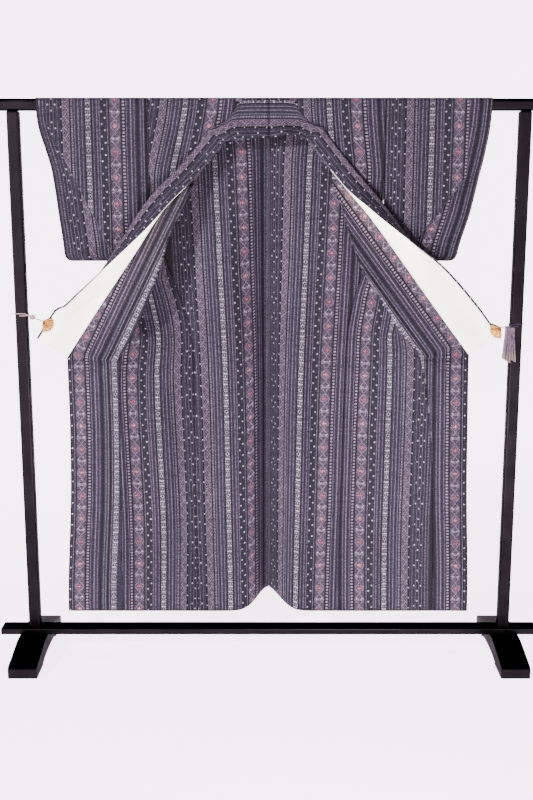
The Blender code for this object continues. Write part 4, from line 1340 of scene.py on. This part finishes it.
def feathered(tree, u, v):
    """The place on the bolt, shifted a little thread by thread as hand-tied dyeing does."""
    shift = bolt_grain(tree, u, v, 400.0, 1600.0)
    rise = bolt_grain(tree, u, v, 2400.0, 90.0)
    moved_u = plus(tree, u, times(tree, minus(tree, shift, 0.5), 0.0007))
    moved_v = plus(tree, v, times(tree, minus(tree, rise, 0.5), 0.0030))
    return moved_u, moved_v


def slub_light(tree, u, v, weave):
    """How light the threads are: uneven warp and weft, missed picks, mottle and weft bars."""
    thread = plus(tree, times(tree, weave["Warp"], 0.7), times(tree, weave["Weft"], 0.3))
    pick = bolt_grain(tree, u, v, 9.0, 420.0)
    light = times(tree, fade(tree, thread, 0.32, 0.68, 0.7, 1.35),
                  fade(tree, pick, 0.30, 0.48, 0.72, 1.0))
    mottle = bolt_grain(tree, u, v, 300.0, 170.0, 3.0, 0.6)
    light = times(tree, light, fade(tree, mottle, 0.34, 0.66, 0.48, 1.60))
    bars = bolt_grain(tree, u, v, 25.0, 260.0, 12.0, 0.6)
    return times(tree, light, fade(tree, bars, 0.34, 0.66, 0.80, 1.18))


def storage_shade(tree, v, cloud, apart):
    """Painted shade along the lines where the kimono was folded for its drawer."""
    stored = plus(tree, calc(tree, "DIVIDE", v, apart), times(tree, cloud, 0.10))
    ridge = calc(tree, "ABSOLUTE", minus(tree, calc(tree, "FRACT", stored), 0.5))
    fold = times(tree, fade(tree, ridge, 0.022, 0.004), fade(tree, cloud, 0.42, 0.58))
    return minus(tree, 1.0, times(tree, fold, 0.22))


def make_silk(settings):
    """Striped tsumugi silk with the feathered edges of threads dyed before weaving."""
    material, tree, surface = new_material("tsumugi silk")
    u, v = bolt_place(tree)
    moved_u, moved_v = feathered(tree, u, v)
    shown = use(tree, "bolt pattern", U=moved_u, V=moved_v)["Color"]
    weave = use(tree, "weave", U=u, V=v, Thread=0.0009)
    cloud = bolt_grain(tree, u, v, 6.0, 3.0, 8.0)
    light = times(tree, slub_light(tree, u, v, weave), fade(tree, cloud, 0.3, 0.7, 0.90, 1.10))
    # Painted shade along the storage creases darkens the silk's colour
    light = times(tree, light, storage_shade(tree, v, cloud, settings.storage_fold))
    shown = blend(tree, 1.0, shown, joined(tree, light, light, light), "MULTIPLY")
    flecks = fade(tree, bolt_grain(tree, u, v, 420.0, 260.0, 5.0), 0.62, 0.72)
    shown = paint(tree, shown, flecks, 0.40, PALE)
    deep = tree.nodes.new("ShaderNodeGamma")
    deep.inputs["Gamma"].default_value = settings.contrast
    tree.links.new(shown, deep.inputs["Color"])
    level = settings.dye_light
    shown = blend(tree, 1.0, deep.outputs["Color"], (level, level, level, 1.0), "MULTIPLY")
    tree.links.new(shown, surface["Base Color"])
    surface["Roughness"].default_value = 0.78
    surface["Sheen Weight"].default_value = settings.sheen
    surface["Sheen Roughness"].default_value = 0.4
    surface["Specular IOR Level"].default_value = 0.15
    tree.links.new(bump(tree, weave["Height"], 0.0004, settings.weave_bump), surface["Normal"])
    return material


def make_lining(settings):
    """Plain ivory silk lining, with a painted glow (emission in its own colour) standing in for the
    studio's light through the thin silk.
    """
    material, tree, surface = new_material("ivory lining")
    u, v = bolt_place(tree)
    weave = use(tree, "weave", U=u, V=v, Thread=0.0006)
    cloud = grain(tree, joined(tree, times(tree, u, 24.0), times(tree, v, 9.0)), 1.0, 3.0, 0.6)
    share = plus(tree, times(tree, fade(tree, cloud, 0.38, 0.62), 0.8),
                 times(tree, fade(tree, weave["Warp"], 0.3, 0.7), 0.2))
    shown = blend(tree, share, settings.lining_shade, settings.lining)
    tree.links.new(shown, surface["Base Color"])
    # Painted glow: the lining emits its own colour, standing in for light through the thin silk
    tree.links.new(shown, surface["Emission Color"])
    surface["Roughness"].default_value = 0.6
    surface["Sheen Weight"].default_value = settings.sheen
    surface["Emission Strength"].default_value = settings.lining_painted_glow
    tree.links.new(bump(tree, weave["Height"], 0.0002, 0.2), surface["Normal"])
    return material


def make_lacquer(settings):
    """Black lacquer with a soft unevenness and a little dust on what faces up."""
    material, tree, surface = new_material("black lacquer")
    place = object_coords(tree)
    facing = split(tree, tree.nodes.new("ShaderNodeNewGeometry").outputs["Normal"])
    specks = grain(tree, place, 900.0, 2.0)
    cloud = grain(tree, place, 14.0, 3.0)
    up = fade(tree, facing["Z"], 0.7, 1.0)
    dust = times(tree, fade(tree, specks, 0.60, 0.72), up)
    dust = times(tree, dust, settings.dust)
    shown = blend(tree, cloud, settings.lacquer_dark, settings.lacquer)
    tree.links.new(blend(tree, dust, shown, colour(120, 116, 112)), surface["Base Color"])
    rough = fade(tree, cloud, 0.3, 0.7, settings.gloss * 0.8, settings.gloss * 1.5)
    tree.links.new(plus(tree, rough, times(tree, dust, 0.5)), surface["Roughness"])
    surface["Metallic"].default_value = 1.0
    surface["Specular Tint"].default_value = (0.22, 0.22, 0.22, 1.0)
    tree.links.new(bump(tree, cloud, 0.0010, 0.15), surface["Normal"])
    return material


def make_gilt(settings):
    """Gilt metal with rubbed darker hollows."""
    material, tree, surface = new_material("gilt")
    worn = grain(tree, object_coords(tree), 220.0, 3.0)
    shown = blend(tree, fade(tree, worn, 0.35, 0.7), colour(104, 68, 28), settings.gilt)
    tree.links.new(shown, surface["Base Color"])
    surface["Metallic"].default_value = 1.0
    tree.links.new(fade(tree, worn, 0.3, 0.7, 0.28, 0.45), surface["Roughness"])
    return material


def make_cord_material(name, dark, light, tips=None):
    """Silk cord or tassel with strands seen as lighter and darker lines, and faded tips."""
    material, tree, surface = new_material(name)
    x, y, z = split(tree, object_coords(tree))
    long = times(tree, z, 0.12) if tips else z
    strands = grain(tree, joined(tree, x, y, long), 700.0 if tips else 1400.0)
    shown = blend(tree, fade(tree, strands, 0.38, 0.62), colour(*dark), colour(*light))
    if tips:
        low, high, pale = tips
        shown = blend(tree, fade(tree, z, low, high, 0.85, 0.0), shown, colour(*pale))
    tree.links.new(shown, surface["Base Color"])
    surface["Roughness"].default_value = 0.6
    surface["Specular IOR Level"].default_value = 0.2
    tree.links.new(bump(tree, strands, 0.0003, 0.4), surface["Normal"])
    return material


# Stage: lights as name, place, target, size in metres and power in watts, and the sweep's shape
LIGHTS = (
    ("key", (-4.4, -5.6, 4.0), (-3.7, -4.7, 0.0), 0.7, 1330),
    ("fill", (0.4, -2.2, 0.1), (0.0, 0.0, -0.2), 1.0, 105),
    ("wall", (-3.4, 2.2, 3.6), (-1.0, 6.5, 1.2), 2.0, 300),
    ("wall", (3.4, 2.2, 3.6), (1.0, 6.5, 1.2), 2.0, 300),
)
SWEEP_FLAT = 5.0
SWEEP_BEND = 2.5
SWEEP_WALL = 2.0
SWEEP_AROUND = 96
PHOTO_TALL = 800


# Operators, one for each group of pieces
class KIMONO_OT_materials(bpy.types.Operator):
    """Makes the shader groups and the materials"""

    bl_idname = "kimono.materials"
    bl_label = "Materials"

    def execute(self, context):
        for make in (make_dots_group, make_band_group, make_bars_group, make_lattice_group,
                     make_diamond_group, make_weave_group, make_pattern_group):
            make()
        make_silk(context.scene.kimono_cloth)
        make_lining(context.scene.kimono_cloth)
        return {"FINISHED"}


class KIMONO_OT_body(bpy.types.Operator):
    """Builds the fronts, okumi panels and backs"""

    bl_idname = "kimono.body"
    bl_label = "Body panels"

    def execute(self, context):
        settings = context.scene.kimono_cloth
        silk = bpy.data.materials["tsumugi silk"]
        for side in (-1, 1):
            add_back(side, settings, silk)
            add_front(side, settings, silk)
            add_okumi(side, settings, silk)
        return {"FINISHED"}


class KIMONO_OT_sleeves(bpy.types.Operator):
    """Builds both sleeves"""

    bl_idname = "kimono.sleeves"
    bl_label = "Sleeves"

    def execute(self, context):
        for side in (-1, 1):
            add_sleeve(side, context.scene.kimono_cloth, bpy.data.materials["tsumugi silk"])
        return {"FINISHED"}


class KIMONO_OT_collar(bpy.types.Operator):
    """Builds the collar with its lining"""

    bl_idname = "kimono.collar"
    bl_label = "Collar and lining"

    def execute(self, context):
        silk = bpy.data.materials["tsumugi silk"]
        lining = bpy.data.materials["ivory lining"]
        for side in (-1, 1):
            add_collar(side, context.scene.kimono_cloth, silk, lining)
        return {"FINISHED"}


class KIMONO_OT_stand(bpy.types.Operator):
    """Gives the stand, clips and cords their finish"""

    bl_idname = "kimono.stand"
    bl_label = "Stand and holders"

    def execute(self, context):
        lacquer = make_lacquer(context.scene.kimono_stand)
        gilt = make_gilt(context.scene.kimono_stand)
        for side in (-1, 1):
            add_clip(side, gilt)
        pink = make_cord_material("pink cord", (170, 128, 140), (222, 190, 196))
        purple = make_cord_material("purple cord", (34, 24, 46), (72, 58, 84))
        strands = make_cord_material("tassel strands", (54, 36, 54), (138, 112, 134),
                                     (0.975, 1.005, (150, 128, 120)))
        looks = {
            "top_rail": lacquer,
            "bottom_rail": lacquer,
            "post": lacquer,
            "foot": lacquer,
            "cord_left": pink,
            "knot_left": pink,
            "cord_right": purple,
            "tassel_right": strands,
        }
        for name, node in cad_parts.items():
            for start, look in looks.items():
                if name.startswith(start):
                    for slot in node.material_slots:
                        slot.material = look
        return {"FINISHED"}


class KIMONO_OT_stage(bpy.types.Operator):
    """Sets the pale floor with its sweep, the lights and the camera"""

    bl_idname = "kimono.stage"
    bl_label = "Stage"

    def execute(self, context):
        settings = context.scene.kimono_stage
        add_sweep()
        for name, place, target, size, power in LIGHTS:
            add_light(name, place, target, size, power * settings.light)
        world = bpy.data.worlds.new("studio")
        world.use_nodes = True
        sky = world.node_tree.nodes["Background"].inputs
        sky["Color"].default_value = colour(240, 237, 244)
        sky["Strength"].default_value = 0.07
        context.scene.world = world
        camera = bpy.data.cameras.new("camera")
        camera.lens = camera.sensor_width * settings.focal_pixels / PHOTO_TALL
        stand = bpy.data.objects.new("camera", camera)
        stand.location = (settings.camera_side, -settings.camera_distance, settings.camera_height)
        stand.rotation_euler = (pi / 2 - settings.camera_pitch, 0, 0)
        context.scene.collection.objects.link(stand)
        context.scene.camera = stand
        return {"FINISHED"}


def add_sweep():
    """A round floor that curves up into a wall all round, with the mesh made from a grid."""
    bm = bmesh.new()
    bmesh.ops.create_grid(bm, x_segments=SWEEP_AROUND, y_segments=24, size=1.0)
    for vert in bm.verts:
        turn = round((vert.co.x + 1) / 2 * SWEEP_AROUND) / SWEEP_AROUND * 2 * pi
        share = (vert.co.y + 1) / 2
        bend = max(2 * share - 1, 0.0) * pi / 2
        far = SWEEP_FLAT * min(2 * share, 1.0) + SWEEP_BEND * sin(bend)
        up = SWEEP_BEND * (1 - cos(bend))
        if bend > 1.5:
            up += SWEEP_WALL
        vert.co = (far * cos(turn), far * sin(turn), up)
    bmesh.ops.remove_doubles(bm, verts=bm.verts, dist=0.0001)
    material, tree, surface = new_material("pale paper")
    fibre = grain(tree, object_coords(tree), 40.0, 3.0)
    tree.links.new(blend(tree, fibre, colour(244, 240, 246), colour(249, 246, 250)),
                   surface["Base Color"])
    surface["Roughness"].default_value = 0.9
    surface["Emission Color"].default_value = colour(255, 230, 250)
    surface["Emission Strength"].default_value = 4.6
    sweep = finished_mesh("sweep", bm, material)
    sweep.visible_diffuse = False


def add_light(name, place, target, size, power):
    lamp = bpy.data.lights.new(name, "AREA")
    lamp.shape = "DISK"
    lamp.size = size
    lamp.energy = power
    thing = bpy.data.objects.new(name, lamp)
    thing.location = place
    way = Vector(target) - Vector(place)
    thing.rotation_euler = way.to_track_quat("-Z", "Y").to_euler()
    bpy.context.scene.collection.objects.link(thing)


class KIMONO_PT_panel(bpy.types.Panel):
    """Buttons and settings in the 3D view's sidebar"""

    bl_idname = "KIMONO_PT_panel"
    bl_label = "Kimono"
    bl_space_type = "VIEW_3D"
    bl_region_type = "UI"
    bl_category = "Kimono"

    def draw(self, context):
        layout = self.layout
        for name in ("kimono_cloth", "kimono_stand", "kimono_stage"):
            settings = getattr(context.scene, name)
            for entry in settings.bl_rna.properties:
                if entry.identifier not in ("rna_type", "name"):
                    layout.prop(settings, entry.identifier)
        for step in STEPS:
            layout.operator(step.bl_idname)


STEPS = (
    KIMONO_OT_materials,
    KIMONO_OT_body,
    KIMONO_OT_sleeves,
    KIMONO_OT_collar,
    KIMONO_OT_stand,
    KIMONO_OT_stage,
)
GROUPS = (KimonoClothSettings, KimonoStandSettings, KimonoStageSettings)


def register():
    for kind in GROUPS + STEPS + (KIMONO_PT_panel,):
        bpy.utils.register_class(kind)
    bpy.types.Scene.kimono_cloth = bpy.props.PointerProperty(type=KimonoClothSettings)
    bpy.types.Scene.kimono_stand = bpy.props.PointerProperty(type=KimonoStandSettings)
    bpy.types.Scene.kimono_stage = bpy.props.PointerProperty(type=KimonoStageSettings)


def unregister():
    for name in ("kimono_cloth", "kimono_stand", "kimono_stage"):
        delattr(bpy.types.Scene, name)
    for kind in reversed(GROUPS + STEPS + (KIMONO_PT_panel,)):
        bpy.utils.unregister_class(kind)


def main():
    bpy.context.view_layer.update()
    register()
    bpy.ops.kimono.materials()
    bpy.ops.kimono.body()
    bpy.ops.kimono.sleeves()
    bpy.ops.kimono.collar()
    bpy.ops.kimono.stand()
    bpy.ops.kimono.stage()


if __name__ == "__main__":
    main()
